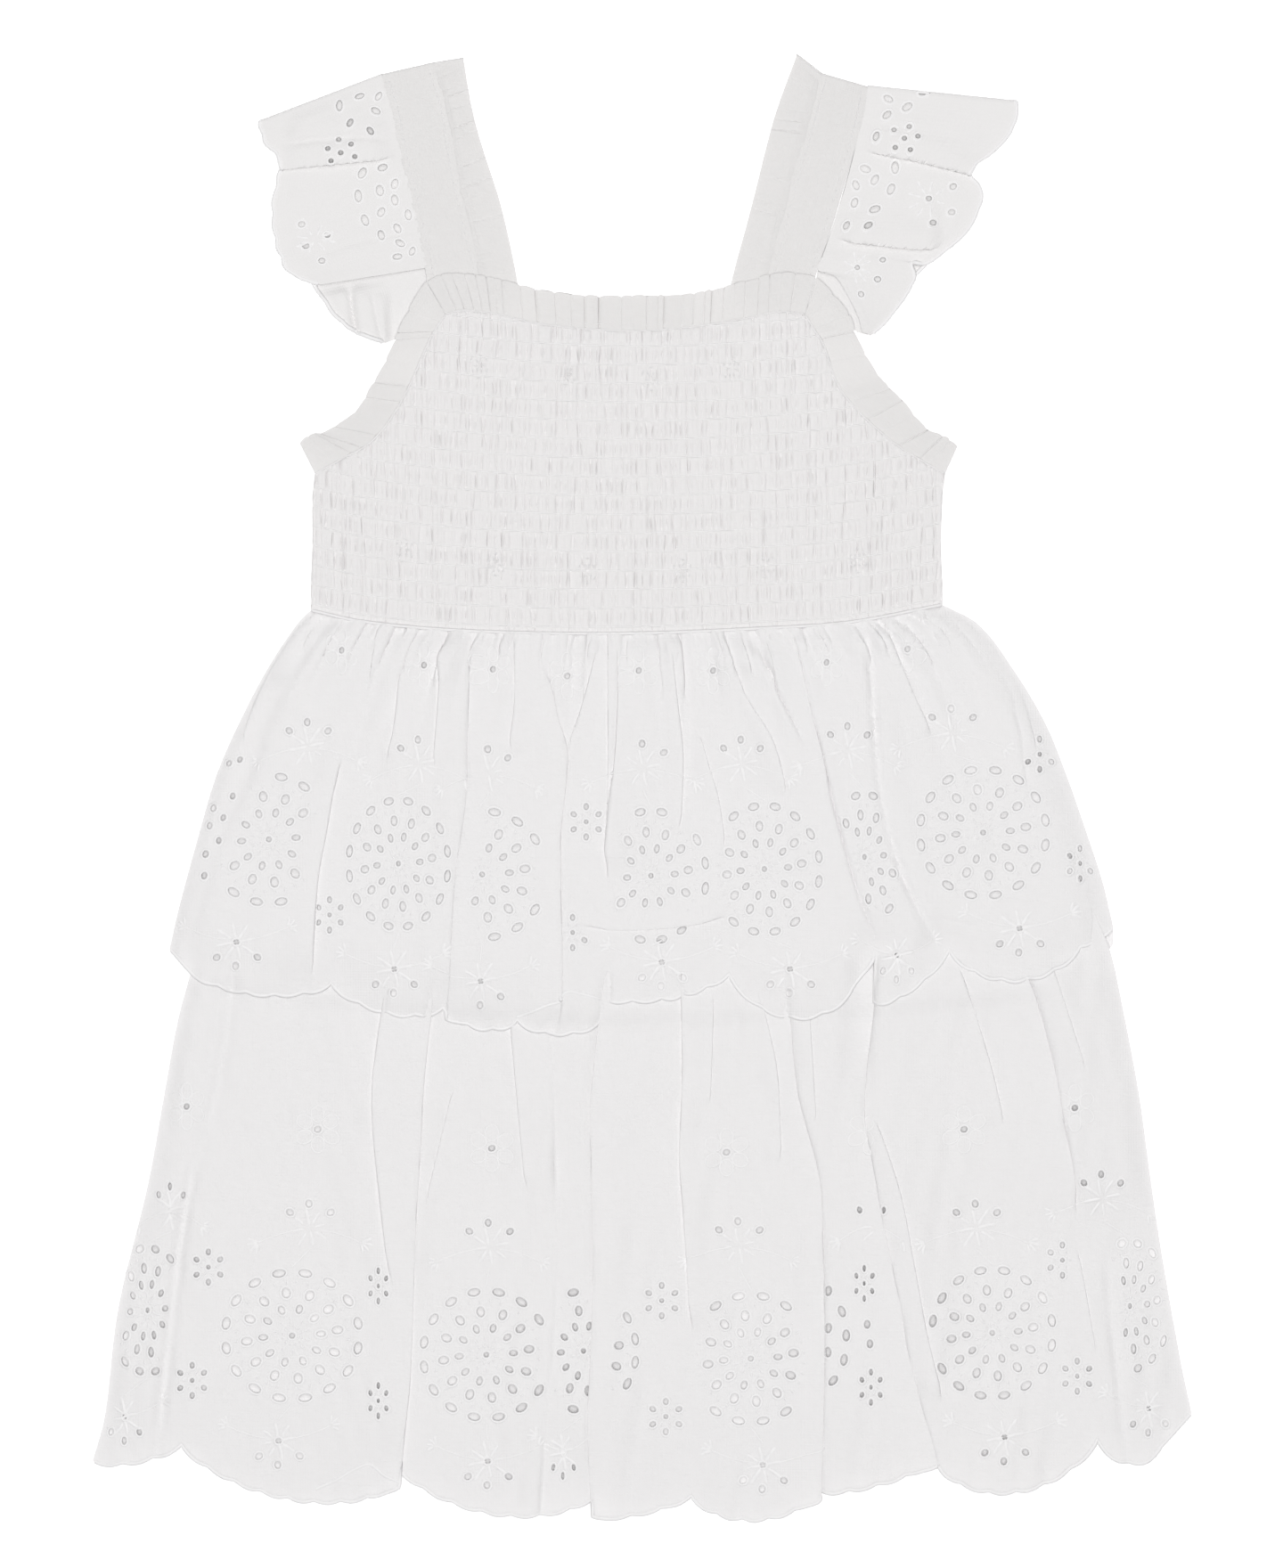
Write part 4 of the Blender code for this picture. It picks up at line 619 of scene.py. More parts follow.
def curve(knots, place):
    """Smooth value at each place, between knots (place, value) in rising order."""
    places, values = np.array(knots, float).T
    count = np.arange(len(places))
    after, before = np.minimum(count + 1, count[-1]), np.maximum(count - 1, 0)
    slopes = (values[after] - values[before]) / (places[after] - places[before])
    place = np.clip(place, places[0], places[-1])
    i = np.clip(np.searchsorted(places, place, side="right") - 1, 0, len(places) - 2)
    span = places[i + 1] - places[i]
    t = (place - places[i]) / span
    return ((2 * t ** 3 - 3 * t ** 2 + 1) * values[i]
            + (t ** 3 - 2 * t ** 2 + t) * span * slopes[i]
            + (3 * t ** 2 - 2 * t ** 3) * values[i + 1]
            + (t ** 3 - t ** 2) * span * slopes[i + 1])


def along(path, t):
    """Points of a smooth path (x, y) at t from 0 to 1, counted by its own points."""
    place = np.asarray(t, float) * (len(path) - 1)
    return np.stack([curve([(i, point[axis]) for i, point in enumerate(path)], place)
                     for axis in (0, 1)], axis=-1)


def by_length(path, shares):
    """The t at which a path has run each share of its length."""
    t = np.linspace(0, 1, 400)
    steps = np.linalg.norm(np.diff(along(path, t), axis=0), axis=1)
    run = np.concatenate([[0], np.cumsum(steps)])
    return np.interp(shares, run / run[-1], t)


def waist_y(x):
    return curve(WAIST, x)


def fold_place(fold, x, y):
    """Where points lie along a fold and across it, and how open the fold is there."""
    place, cross = (y, x) if fold.runs == "down" else (x, y)
    first, last = fold.path[0][0], fold.path[-1][0]
    window = soft_step((place - first) / fold.fade) * soft_step((last - place) / fold.fade)
    return place, cross - curve(fold.path, place), window


def fold_height(fold, x, y):
    """Height that one fold lifts the cloth, uneven along its length."""
    place, offset, window = fold_place(fold, x, y)
    side = np.where(offset > 0, fold.after, fold.before)
    away = np.abs(offset)
    rise = 1 - np.exp(-(away / (CREASE_SHARPNESS * fold.crease)) ** CREASE_POWER)
    uneven = 1 + CREASE_UNEVEN * np.sin(place / 13 + fold.path[0][1]) * np.sin(place / 31)
    return window * side * rise * uneven * np.exp(-away / fold.reach)


def folds_height(folds, x, y):
    """Height of all folds together, which never passes FOLD_LIMIT."""
    total = sum(fold_height(fold, x, y) for fold in folds)
    return total / (1 + (total / FOLD_LIMIT) ** 4) ** 0.25


def folds_lean(folds, x, y):
    """Shift of the cloth where a fold's high side leans over its low side."""
    shift = np.zeros((len(x), 2))
    for fold in folds:
        if not fold.lean:
            continue
        _, offset, window = fold_place(fold, x, y)
        flank = -math.copysign(LEAN_CENTRE * fold.crease, fold.lean)
        bump = window * np.exp(-((offset - flank) / fold.crease) ** 2)
        shift[:, 0 if fold.runs == "down" else 1] += fold.lean * bump
    return shift


def side_reach(x, y, left, right, reach):
    """0 at a tier's side edges, 1 further in than reach."""
    from_left, from_right = (x - curve(left, y)) / reach[0], (curve(right, y) - x) / reach[1]
    return soft_step(np.minimum(from_left, from_right))


def ripples(x, y, seed, length, height, across=3.0):
    """Faint uneven waves, longer across than along the cloth's width."""
    random = np.random.default_rng(seed)
    total = np.zeros(len(x))
    for _ in range(14):
        size = length * random.uniform(0.5, 1.8)
        kx = random.normal() * 2 * math.pi / size
        ky = random.normal() * 2 * math.pi / (across * size)
        total += np.sin(kx * x + ky * y + random.uniform(0, 2 * math.pi))
    return height * total / 3.7


def gathers(share, fall, count, seed, lengths, width=0.2):
    """Rounded pleats between narrow slits, each dying away over its own length."""
    random = np.random.default_rng(seed)
    deep = random.uniform(0.35, 1.0, count + 2)
    reach = random.uniform(*lengths, count + 2)
    drift = random.uniform(-0.3, 0.3, count + 2)
    number = share * count
    index = np.clip(np.round(number).astype(int), 0, count + 1)
    off = np.abs(number - index - drift[index] * 0.6)
    slit = np.exp(-(off / width) ** 1.5)
    return -deep[index] * slit * np.exp(-np.maximum(fall, 0) / reach[index])


# --- how the pieces lie

def back_hem_y(x):
    return BACK_HEM_MIDDLE + BACK_HEM_RISE * (x / BACK_HEM_HALF) ** 2


def lower_freedom(y):
    """How far the lower tier's folds have opened: from 0 high under the upper tier to 1."""
    return soft_step((FOLDS_OPEN_FROM - y) / FOLDS_OPEN_OVER)


def past_back_hem(x, y, start):
    """1 over the upper tier's back, 0 beyond its hem, stepping down from start on."""
    return soft_step((y - back_hem_y(x) + start + STEP_LENGTH) / STEP_LENGTH)


def waist_gathers(count, seed):
    """Short folds down from the waist, fanning out like the tier's sides."""
    random = np.random.default_rng(seed)
    found = []
    for i in range(count):
        share = (i + random.uniform(0.2, 0.8)) / count
        high = waist_y(WAIST[0][0] + share * (WAIST[-1][0] - WAIST[0][0])) - 0.5
        rows = high - random.uniform(9, 24) * np.array([1, 0.5, 0])
        left, right = curve(UPPER_SIDE_LEFT, rows), curve(UPPER_SIDE_RIGHT, rows)
        drift = random.uniform(-1.2, 1.2) * np.array([1, 0.2, 0])
        path = list(zip(rows, left + share * (right - left) + drift))
        found.append(fine_fold("down", random.uniform(0.4, 0.8), *path))
    return found


# Outside its first fold the upper tier lies lower: by which share, over how wide a slope.
SIDE_FLAT = 0.5
SIDE_SLOPE = 7.0
WAIST_GATHERS = waist_gathers(24, 14)


def upper_front(points):
    """The upper tier rides over the lower one and turns down to the back at its sides."""
    x, y = points[:, 0], points[:, 1]
    left, right = curve(UPPER_SIDE_LEFT, y), curve(UPPER_SIDE_RIGHT, y)
    fall = waist_y(x) - y
    share = (x - left) / (right - left)
    edge = BACK_MIDDLE + LAYER
    top = UPPER_MIDDLE + HEM_RISE * lower_freedom(y) + GATHER_HEIGHT
    top = top + folds_height(UPPER_FOLDS, x, y) + GATHER_HEIGHT * np.exp(-fall / GATHER_REACH)
    top = top + sum(fold_height(fold, x, y) for fold in UPPER_CREASES + WAIST_GATHERS)
    top = top + FINE_DEPTH * gathers(share, fall, FINE_GATHERS, 5, FINE_REACH)
    top = top + LONG_DEPTH * gathers(share, fall, LONG_GATHERS, 6, LONG_REACH, 0.3)
    top = top + ripples(x, y, 11, 17, 0.18) * soft_step(fall / 20)
    beyond = (curve(UPPER_FOLDS[0].path, y) - x) / SIDE_SLOPE
    top = top - SIDE_FLAT * (top - edge) * soft_step(0.5 + beyond)
    resting = lower_open(points)[:, 2] + HEM_LIFT
    near_hem = np.exp(-(nearest(points, UPPER_HEM_LINE) / HEM_DROP) ** 2)
    top = top + (resting - top) * near_hem * (top > resting)
    sides = side_reach(x, y, UPPER_SIDE_LEFT, UPPER_SIDE_RIGHT, UPPER_SIDE_REACH)
    shift = folds_lean(UPPER_FOLDS + UPPER_CREASES + WAIST_GATHERS, x, y) * sides[:, None]
    return np.column_stack([points + shift, edge + (top - edge) * sides])


def lower_open(points):
    """The lower tier's front: plain under the upper tier, in open folds below it."""
    x, y = points[:, 0], points[:, 1]
    left, right = curve(LOWER_SIDE_LEFT, y), curve(LOWER_SIDE_RIGHT, y)
    sides = side_reach(x, y, LOWER_SIDE_LEFT, LOWER_SIDE_RIGHT, LOWER_SIDE_REACH)
    open_folds = lower_freedom(y) * sides
    folds = folds_height(LOWER_FOLDS, x, y)
    folds = folds + sum(fold_height(fold, x, y) for fold in LOWER_CREASES)
    share = (x - left) / (right - left)
    fall = -LOWER_GATHERS_FROM - y
    loose = gathers(share, fall, LOWER_GATHERS, 8, LOWER_REACH, 0.3)
    folds = folds + LOWER_DEPTH * (1 + loose)
    folds = folds + ripples(x, y, 23, 22, 0.35)
    folds = folds * (1 - PIT_DEPTH * np.exp(-((x - PIT_X) / PIT_HALF) ** 2)
                     * soft_step((y - PIT_LOW) / PIT_FADE))
    shift = folds_lean(LOWER_FOLDS + LOWER_CREASES, x, y) * open_folds[:, None]
    base = BACK_MIDDLE + LAYER * (1 + past_back_hem(x, y, FRONT_STEP))
    return np.column_stack([points + shift, base + folds * open_folds])


def lower_front(points):
    """The lower tier's front, which fills out the upper tier from beneath."""
    places = lower_open(points)
    depth = nearest(points, UPPER_HEM_LINE)
    under = soft_step((depth - 5) / 12) * within(UPPER_OUTLINE, points)
    room = upper_front(points)[:, 2] - UNDER_GAP - places[:, 2]
    places[:, 2] += under * np.maximum(room, 0)
    return places


def lower_back(points):
    """The lower tier's back lies on the upper one's, then steps down past its hem."""
    x, y = points[:, 0], points[:, 1]
    low = BACK_LIES + BACK_RISES * soft_step(nearest(points, LOWER_HEM_LINE) / 6)
    low = low + (LAYER + GAP - BACK_RISES) * past_back_hem(x, y, BACK_STEP)
    return np.column_stack([x * LOWER_BACK_WIDTH, y, low])


def lying(points):
    """Flat on the surface."""
    return np.column_stack([points, np.full(len(points), BACK_LIES)])


def across_rows(rows, t, r):
    """Points of a folded piece: t from its last row to its first, r from edge to edge."""
    inner, outer = [along(edge, 1 - t) for edge in zip(*rows)]
    return inner + (outer - inner) * r


def over_shoulder(front, back, front_z, turn_share, height):
    """How a strip lies that folds over the shoulder.

    Its points are (t, r): t runs up the front, round the turn in the middle of its range and
    down the back, and r from the inner to the outer edge.
    """
    radius = (front_z - BACK_MIDDLE) / 2
    start = 0.5 - turn_share / 2

    def place(points):
        t, r = points[:, 0], points[:, 1][:, None]
        on_front = across_rows(front, np.clip(t / start, 0, 1), r)
        on_back = across_rows(back, np.clip((1 - t) / start, 0, 1), r)
        angle = math.pi * np.clip((t - start) / turn_share, 0, 1)
        z = BACK_MIDDLE + radius + radius * np.cos(angle)
        z = np.where(t <= start, front_z + height(t / start, points[:, 1], *on_front.T), z)
        xy = np.where((t <= start)[:, None], on_front, on_back)
        turning = (t > start) & (t < 1 - start)
        xy = np.where(turning[:, None], across_rows(front, np.ones(len(t)), r), xy)
        xy[:, 1] += np.where(turning, radius * np.sin(angle), 0)
        return np.column_stack([xy, z])

    return place


def sleeve_drape(front, back, folds, seed):
    """How a sleeve lies: its points are (a, b), along its seam and outwards, in millimetres."""
    def waves(t, r, x, y):
        free = soft_step((1 - t) / 0.10)
        puckers = SLEEVE_DEPTH * gathers(t, r * SLEEVE_WIDTH, SLEEVE_GATHERS, seed,
                                         SLEEVE_REACH)
        faint = ripples(x, y, seed + 1, 14, 0.16, 1.0)
        return (folds_height(folds, x, y) * soft_step(r / 0.25) + puckers
                + faint * soft_step(r / 0.4)) * free

    strip = over_shoulder(front, back, SLEEVE_MIDDLE, SLEEVE_TURN, waves)

    def place(points):
        t, r = (points / (SLEEVE_LENGTH, SLEEVE_WIDTH)).T
        places = strip(np.column_stack([t, r]))
        free = soft_step((0.47 - t) / 0.05) * soft_step(r / 0.2)
        x, y = places[:, 0], places[:, 1]
        past_front = (soft_step((PAST_FRONT_Y + PAST_FRONT_RISE * x - y) / PAST_FRONT_SOFT)
                      * soft_step((PAST_FRONT_X - x) / PAST_FRONT_SOFT) * (t > 0.52))
        places[:, 2] += folds_height(SLEEVE_TURNED, x, y) * past_front
        places[:, :2] += folds_lean(folds, x, y) * free[:, None]
        return places

    return place


def facing(place, points, step=0.15):
    """Which way a piece faces at points of its flat cloth."""
    across = place(points + (step, 0)) - place(points - (step, 0))
    down = place(points + (0, step)) - place(points - (0, step))
    normal = np.cross(across, down)
    return normal / np.maximum(np.linalg.norm(normal, axis=1), 1e-9)[:, None]


def lifted(place, points, height):
    """Points on a piece, raised off its cloth."""
    points = np.asarray(points, float)
    return place(points) + facing(place, points) * height


# --- outlines and points

def scalloped(hem, spacing, small, depth):
    """Points along a hem of large scallops, each made of small ones."""
    points = []
    for row in hem:
        length = math.hypot(row.x1 - row.x0, row.y1 - row.y0)
        steps = max(round(length / spacing), 3)
        waves = max(round(length / small), 1)
        for i in range(steps + 1):
            t = i / steps
            hang = row.sag * (4 * t * (1 - t)) ** 0.8
            if length > 2 * small:
                hang += depth * abs(math.sin(math.pi * waves * t))
            point = (row.x0 + (row.x1 - row.x0) * t, row.y0 + (row.y1 - row.y0) * t - hang)
            if not points or math.dist(point, points[-1]) > 0.3:
                points.append(point)
    return points


def tier_outline(top, left, right, hem, spacing):
    """A tier's outline, counter-clockwise from its top left: side, hem, side and top."""
    low, high = hem[0][1] + spacing, top[0][1] - spacing
    rows = np.arange(high, low, -spacing)
    lefts = list(zip(curve(left, rows), rows))
    low, high = hem[-1][1] + spacing, top[-1][1] - spacing
    rows = np.arange(low, high, spacing)
    rights = list(zip(curve(right, rows), rows))
    return np.array(lefts + list(hem) + rights + list(top[::-1]), float)


def gathered_top(steps, inset):
    """Points along the waist, clear of the bodice, from left to right."""
    x = np.linspace(UPPER_SIDE_LEFT[-1][1] + inset, UPPER_SIDE_RIGHT[-1][1] - inset, steps + 1)
    return list(zip(x, waist_y(x) - SEAM_CLEARANCE))


def within(outline, points):
    """Which points lie inside a closed outline."""
    x0, y0 = np.asarray(outline, float).T
    x1, y1 = np.roll(x0, -1), np.roll(y0, -1)
    slope = (x1 - x0) / np.where(y1 == y0, 1, y1 - y0)
    found = np.zeros(len(points), bool)
    for start in range(0, len(points), 1000):
        x, y = points[start:start + 1000, 0, None], points[start:start + 1000, 1, None]
        crossed = ((y0 > y) != (y1 > y)) & (x < x0 + slope * (y - y0))
        found[start:start + 1000] = crossed.sum(axis=1) % 2 == 1
    return found


def nearest(points, others):
    """Distance from each point to the nearest of the others."""
    best = np.full(len(points), np.inf)
    for start in range(0, len(others), 64):
        gap = points[:, None, :] - others[None, start:start + 64, :]
        best = np.minimum(best, np.sqrt((gap ** 2).sum(axis=2)).min(axis=1))
    return best


def lattice(low, high, step):
    """Points of a staggered lattice over a box."""
    rows = np.arange(low[1], high[1], step * 0.9)
    columns = np.arange(low[0], high[0], step)
    x, y = np.meshgrid(columns, rows)
    x = x + (np.arange(len(rows)) % 2)[:, None] * step / 2
    return np.column_stack([x.ravel(), y.ravel()])


def crease_points(folds, step):
    """Points along each crease and close beside it, so that it comes out sharp."""
    found = []
    for fold in folds:
        places = np.arange(fold.path[0][0], fold.path[-1][0], step)
        middle = curve(fold.path, places)
        for share in CREASE_SHARES:
            cross = middle + share * fold.crease
            pair = (cross, places) if fold.runs == "down" else (places, cross)
            found.append(np.column_stack(pair))
    return np.concatenate(found)


def near_creases(folds, points):
    """Which points lie so close to a crease that its own points take their place."""
    near = np.zeros(len(points), bool)
    for fold in folds:
        place, offset, _ = fold_place(fold, points[:, 0], points[:, 1])
        inside = (place > fold.path[0][0]) & (place < fold.path[-1][0])
        near |= inside & (np.abs(offset) < CREASE_ZONE * fold.crease)
    return near


def thinned(points, space):
    """Points with none nearer than space to one kept before it."""
    kept = []
    cells = {}
    for point in points:
        key = (int(point[0] // space), int(point[1] // space))
        around = [q for i in (-1, 0, 1) for j in (-1, 0, 1)
                  for q in cells.get((key[0] + i, key[1] + j), ())]
        if all(math.dist(point, q) >= space for q in around):
            cells.setdefault(key, []).append(point)
            kept.append(point)
    return np.array(kept)


def cleared(points, outline, holes, edge, rim):
    """The points that lie inside an outline, off its edge, and off every hole."""
    points = points[within(outline, points)]
    points = points[nearest(points, outline) > edge]
    for hole in holes:
        middle = hole.mean(axis=0)
        reach = np.linalg.norm(hole - middle, axis=1).max()
        gap = np.linalg.norm(points - middle, axis=1)
        close = gap < reach + rim
        keep = ~close
        if close.any():
            keep[close] = nearest(points[close], hole) > rim
            inside = within(hole, points[close])
            keep[np.flatnonzero(close)[inside]] = False
        points = points[keep]
    return points


UPPER_HEM_LINE = np.array(scalloped(UPPER_HEM, 3.0, SMALL_SCALLOP, 0.0))
LOWER_HEM_LINE = np.array(scalloped(LOWER_HEM, 3.0, SMALL_SCALLOP, 0.0)) + (0, LOWER_BACK_LIFT)
UPPER_OUTLINE = tier_outline(gathered_top(60, 0), UPPER_SIDE_LEFT, UPPER_SIDE_RIGHT,
                             UPPER_HEM_LINE.tolist(), 6.0)


# --- embroidery, laid out flat

def polar(x, y, reach, angle, squeeze=1.0):
    """A point out from a middle, in cloth that is gathered sideways."""
    return x + reach * squeeze * math.cos(angle), y + reach * math.sin(angle)


def turned(x, y, a, b, turn, squeeze=1.0):
    """Points (a, b) about a middle, turned, in cloth that is gathered sideways."""
    cos, sin = math.cos(turn), math.sin(turn)
    return np.column_stack([x + (a * cos - b * sin) * squeeze, y + a * sin + b * cos])


def oval(x, y, length, width, turn, squeeze=1.0, corners=12):
    """The edge of an eyelet about its middle."""
    angle = np.arange(corners) * 2 * math.pi / corners
    return turned(x, y, length / 2 * np.cos(angle), width / 2 * np.sin(angle), turn, squeeze)


class Work:
    """The needlework of one piece, in its flat cloth: holes, stitched lines and satin leaves."""

    def __init__(self, outline, folds, margin):
        self.outline, self.folds, self.margin = outline, folds, margin
        self.holes, self.centres, self.lines, self.hems, self.leaves = [], [], [], [], []

    def clear(self, points, margin):
        """Whether points lie inside the outline and off its edge and the sharp creases."""
        points = np.atleast_2d(points)
        if not within(self.outline, points).all():
            return False
        if nearest(points, self.outline).min() < margin:
            return False
        for fold in self.folds:
            _, offset, window = fold_place(fold, points[:, 0], points[:, 1])
            offset = offset[window > FOLD_SHOWS]
            if fold.crease < SHARP_CREASE and max(fold.before, fold.after) > 1:
                if (np.abs(offset) < margin / 2).any():
                    return False
            if fold.lean:
                flank = offset + math.copysign(LEAN_CENTRE * fold.crease, fold.lean)
                if (np.abs(flank) < LEAN_CLEAR * fold.crease).any():
                    return False
        return True

    def hole(self, x, y, length, width, turn, squeeze=1.0, corners=12, limits=None):
        """One eyelet, where its cloth lies open."""
        loop = oval(x, y, length, width, turn, squeeze, corners)
        if not limits or limits(loop):
            self.cut(loop, x, y, (length + width) / 4, squeeze)

    def cut(self, loop, x, y, reach, squeeze=1.0):
        """Cut a loop out, unless it would meet an edge, a crease or another hole."""
        if not self.clear(loop, self.margin):
            return
        for cx, cy, other in self.centres:
            if math.hypot((x - cx) / max(squeeze, 0.6), y - cy) < reach + other + EYELET_GAP:
                return
        self.centres.append((x, y, reach))
        self.holes.append(loop)

    def line(self, points, closed=False):
        """A stitched line, unless it leaves the cloth."""
        points = np.asarray(points, float)
        if within(self.outline, points).all():
            self.lines.append((points, closed))

    def leaf(self, x, y, length, width, turn):
        """A padded satin leaf."""
        if self.clear(np.array([[x, y]]), LEAF_MARGIN):
            self.leaves.append((x, y, length, width, turn))


def medallion(work, ring, folds):
    """A round of eyelets: three rings about a centre, squeezed where its cloth is gathered."""
    by_name = {fold.name: fold for fold in folds}
    squeeze = min(ring.rx / ring.ry, 1.06)

    def limits(loop):
        x, y = loop[:, 0], loop[:, 1]
        if ring.left and (x < curve(by_name[ring.left].path, y) + CREASE_MARGIN / 2).any():
            return False
        return not (ring.right
                    and (x > curve(by_name[ring.right].path, y) - CREASE_MARGIN / 2).any())

    for row in RINGS:
        for i in range(row.count):
            angle = 2 * math.pi * (i + row.start) / row.count
            spot = polar(ring.x, ring.y, row.radius * ring.ry, angle, squeeze)
            turn = angle + (math.pi / 2 if row.runs == "round" else 0)
            work.hole(*spot, row.length, row.width, turn, squeeze, 12, limits)
    for radius, count, length in LEAF_RINGS:
        for i in range(count):
            angle = 2 * math.pi * (i + 0.6) / count
            spot = polar(ring.x, ring.y, radius * ring.ry, angle, squeeze)
            if limits(np.array([spot])):
                work.leaf(*spot, length, 1.0, angle)


def small_flower(work, x, y, squeeze=1.0):
    """Six small eyelets round a seventh, with a short leaf between each two."""
    work.hole(x, y, 1.7, 1.7, 0, squeeze, 9)
    for i in range(6):
        angle = math.pi * (i + 0.5) / 3
        work.hole(*polar(x, y, FLOWER_RADIUS, angle, squeeze), 2.5, 2.0, angle, squeeze, 9)
        angle += math.pi / 6
        work.leaf(*polar(x, y, 3.1, angle, squeeze), 2.2, 0.8, angle)


def star(work, mark):
    """Eight satin rays, three eyelets in an arc, and a stem with a sprout to either side.

    The eyelets are above the star towards the waist, and below it along the hem; the stems
    hang the other way.
    """
    side = 1 if mark.side == "waist" else -1
    for i in range(8):
        angle = math.pi * i / 4 + 0.2
        reach = 4.9 if i % 2 else 4.1
        work.leaf(*polar(mark.x, mark.y, reach, angle, mark.squeeze), 7.2, 1.6, angle)
    for spread, reach in STAR_EYELETS:
        angle = side * math.radians(90 + spread)
        work.hole(*polar(mark.x, mark.y, reach, angle, mark.squeeze), 2.9, 2.4, angle,
                  mark.squeeze, 9)
    if mark.side == "hem":
        work.hole(mark.x, mark.y, 2.2, 2.0, 0, mark.squeeze, 9)
    for way in (-1, 1):
        t = np.linspace(0, 1, 12)
        x = mark.x + way * mark.squeeze * (4 + STEM_LENGTH * t)
        y = mark.y - side * (1.0 + STEM_DROP * t ** 1.6)
        work.line(np.column_stack([x, y]))
        for angle in SPROUT_TURNS:
            turn = (0 if way > 0 else math.pi) + angle - side * way * 0.5
            work.leaf(*polar(x[-1], y[-1], 2.4, turn), 4.2, 1.5, turn)


def petal_flower(work, x, y, squeeze=1.0):
    """An eyelet in a ring of six stitched petals."""
    work.hole(x, y, 2.7, 2.3, 0.4, squeeze, 9)
    angles = np.linspace(0, 2 * math.pi, 15)[:-1]
    for i in range(6):
        a, b = 5.7 + 3.1 * np.cos(angles), 2.5 * np.sin(angles)
        petal = turned(x, y, a, b, math.pi * i / 3 + math.pi / 2, squeeze)
        work.line(petal, closed=True)


# --- geometry nodes

def new_tree(name, inputs):
    """A geometry tree with named inputs; gives the tree, its input node and its output."""
    tree = bpy.data.node_groups.new(name, "GeometryNodeTree")
    tree.interface.new_socket("Geometry", in_out="INPUT", socket_type="NodeSocketGeometry")
    for label, kind in inputs:
        tree.interface.new_socket(label, in_out="INPUT", socket_type="NodeSocket" + kind)
    tree.interface.new_socket("Geometry", in_out="OUTPUT", socket_type="NodeSocketGeometry")
    return tree, tree.nodes.new("NodeGroupInput"), tree.nodes.new("NodeGroupOutput")


def set_inputs(node, **values):
    """Sockets of a node, set by name."""
    for socket, value in values.items():
        node.inputs[socket.replace("_", " ")].default_value = value
    return node


def add_node(tree, kind, links=(), **values):
    """A node with some of its sockets linked or set by name."""
    family = "GeometryNode" if tree.type == "GEOMETRY" else "ShaderNode"
    node = tree.nodes.new(family + kind)
    for socket, source in links:
        tree.links.new(source, node.inputs[socket])
    return set_inputs(node, **values)


def finish_tree(tree, source, group_input, group_output, smooth):
    """Real faces with a material at the end of a tree."""
    real = add_node(tree, "RealizeInstances", [("Geometry", source)])
    shaded = add_node(tree, "SetShadeSmooth", [("Geometry", real.outputs[0])],
                      Shade_Smooth=smooth)
    painted = add_node(tree, "SetMaterial", [("Geometry", shaded.outputs[0]),
                                             ("Material", group_input.outputs["Material"])])
    tree.links.new(painted.outputs[0], group_output.inputs[0])


def thread_tree():
    """Every edge line of a mesh becomes a round raised thread."""
    tree, start, end = new_tree("raised_thread", [("Radius", "Float"), ("Sides", "Int"),
                                                  ("Material", "Material")])
    lines = add_node(tree, "MeshToCurve", [("Mesh", start.outputs["Geometry"])])
    round_thread = add_node(tree, "CurvePrimitiveCircle",
                            [("Radius", start.outputs["Radius"]),
                             ("Resolution", start.outputs["Sides"])])
    tube = add_node(tree, "CurveToMesh", [("Curve", lines.outputs[0]),
                                          ("Profile Curve", round_thread.outputs[0])],
                    Fill_Caps=True)
    finish_tree(tree, tube.outputs[0], start, end, True)
    return tree


def leaf_tree():
    """Every point of a mesh becomes a padded leaf of its own size and turn."""
    tree, start, end = new_tree("satin_leaf", [("Material", "Material")])
    leaf = add_node(tree, "MeshCone", Vertices=8, Radius_Top=0.0,
                    Radius_Bottom=0.5, Depth=1.0)
    stored = []
    for name in ("turn", "size"):
        value = add_node(tree, "InputNamedAttribute", Name=name)
        value.data_type = "FLOAT_VECTOR"
        stored.append(next(socket for socket in value.outputs if socket.enabled))
    spread = add_node(tree, "InstanceOnPoints",
                      [("Points", start.outputs["Geometry"]), ("Instance", leaf.outputs[0]),
                       ("Rotation", stored[0]), ("Scale", stored[1])])
    finish_tree(tree, spread.outputs[0], start, end, False)
    return tree


def linked(name, data):
    """A new object in the scene."""
    thing = bpy.data.objects.new(name, data)
    bpy.context.scene.collection.objects.link(thing)
    return thing


def grown(name, mesh, tree, material, **sizes):
    """The plain mesh that a geometry tree makes from another, as a piece."""
    seed = linked(name + "_seed", mesh)
    modifier = seed.modifiers.new("grow", "NODES")
    modifier.node_group = tree
    identifiers = {item.name: item.identifier for item in tree.interface.items_tree
                   if item.in_out == "INPUT"}
    modifier[identifiers["Material"]] = material
    for label, value in sizes.items():
        modifier[identifiers[label]] = value
    graph = bpy.context.evaluated_depsgraph_get()
    made = bpy.data.meshes.new_from_object(seed.evaluated_get(graph))
    bpy.data.objects.remove(seed)
    return linked(name, made)


# --- meshes

def flat_triangles(outline, holes, points):
    """Triangles of flat cloth between its outline, its holes and the points inside."""
    flat = [Vector(point) for point in outline]
    faces = [list(range(len(flat)))]
    for hole in holes:
        faces.append(list(range(len(flat), len(flat) + len(hole))))
        flat += [Vector(point) for point in hole]
    flat += [Vector(point) for point in points]
    found = delaunay_2d_cdt(flat, [], faces, 1, 1e-6)
    corners = np.array([tuple(point) for point in found[0]])
    triangles = np.array([face for face, origin in zip(found[2], found[5]) if origin == [0]])
    used, triangles = np.unique(triangles, return_inverse=True)
    sources = np.array([found[3][i][0] for i in used])
    return corners[used], triangles.reshape(-1, 3), sources


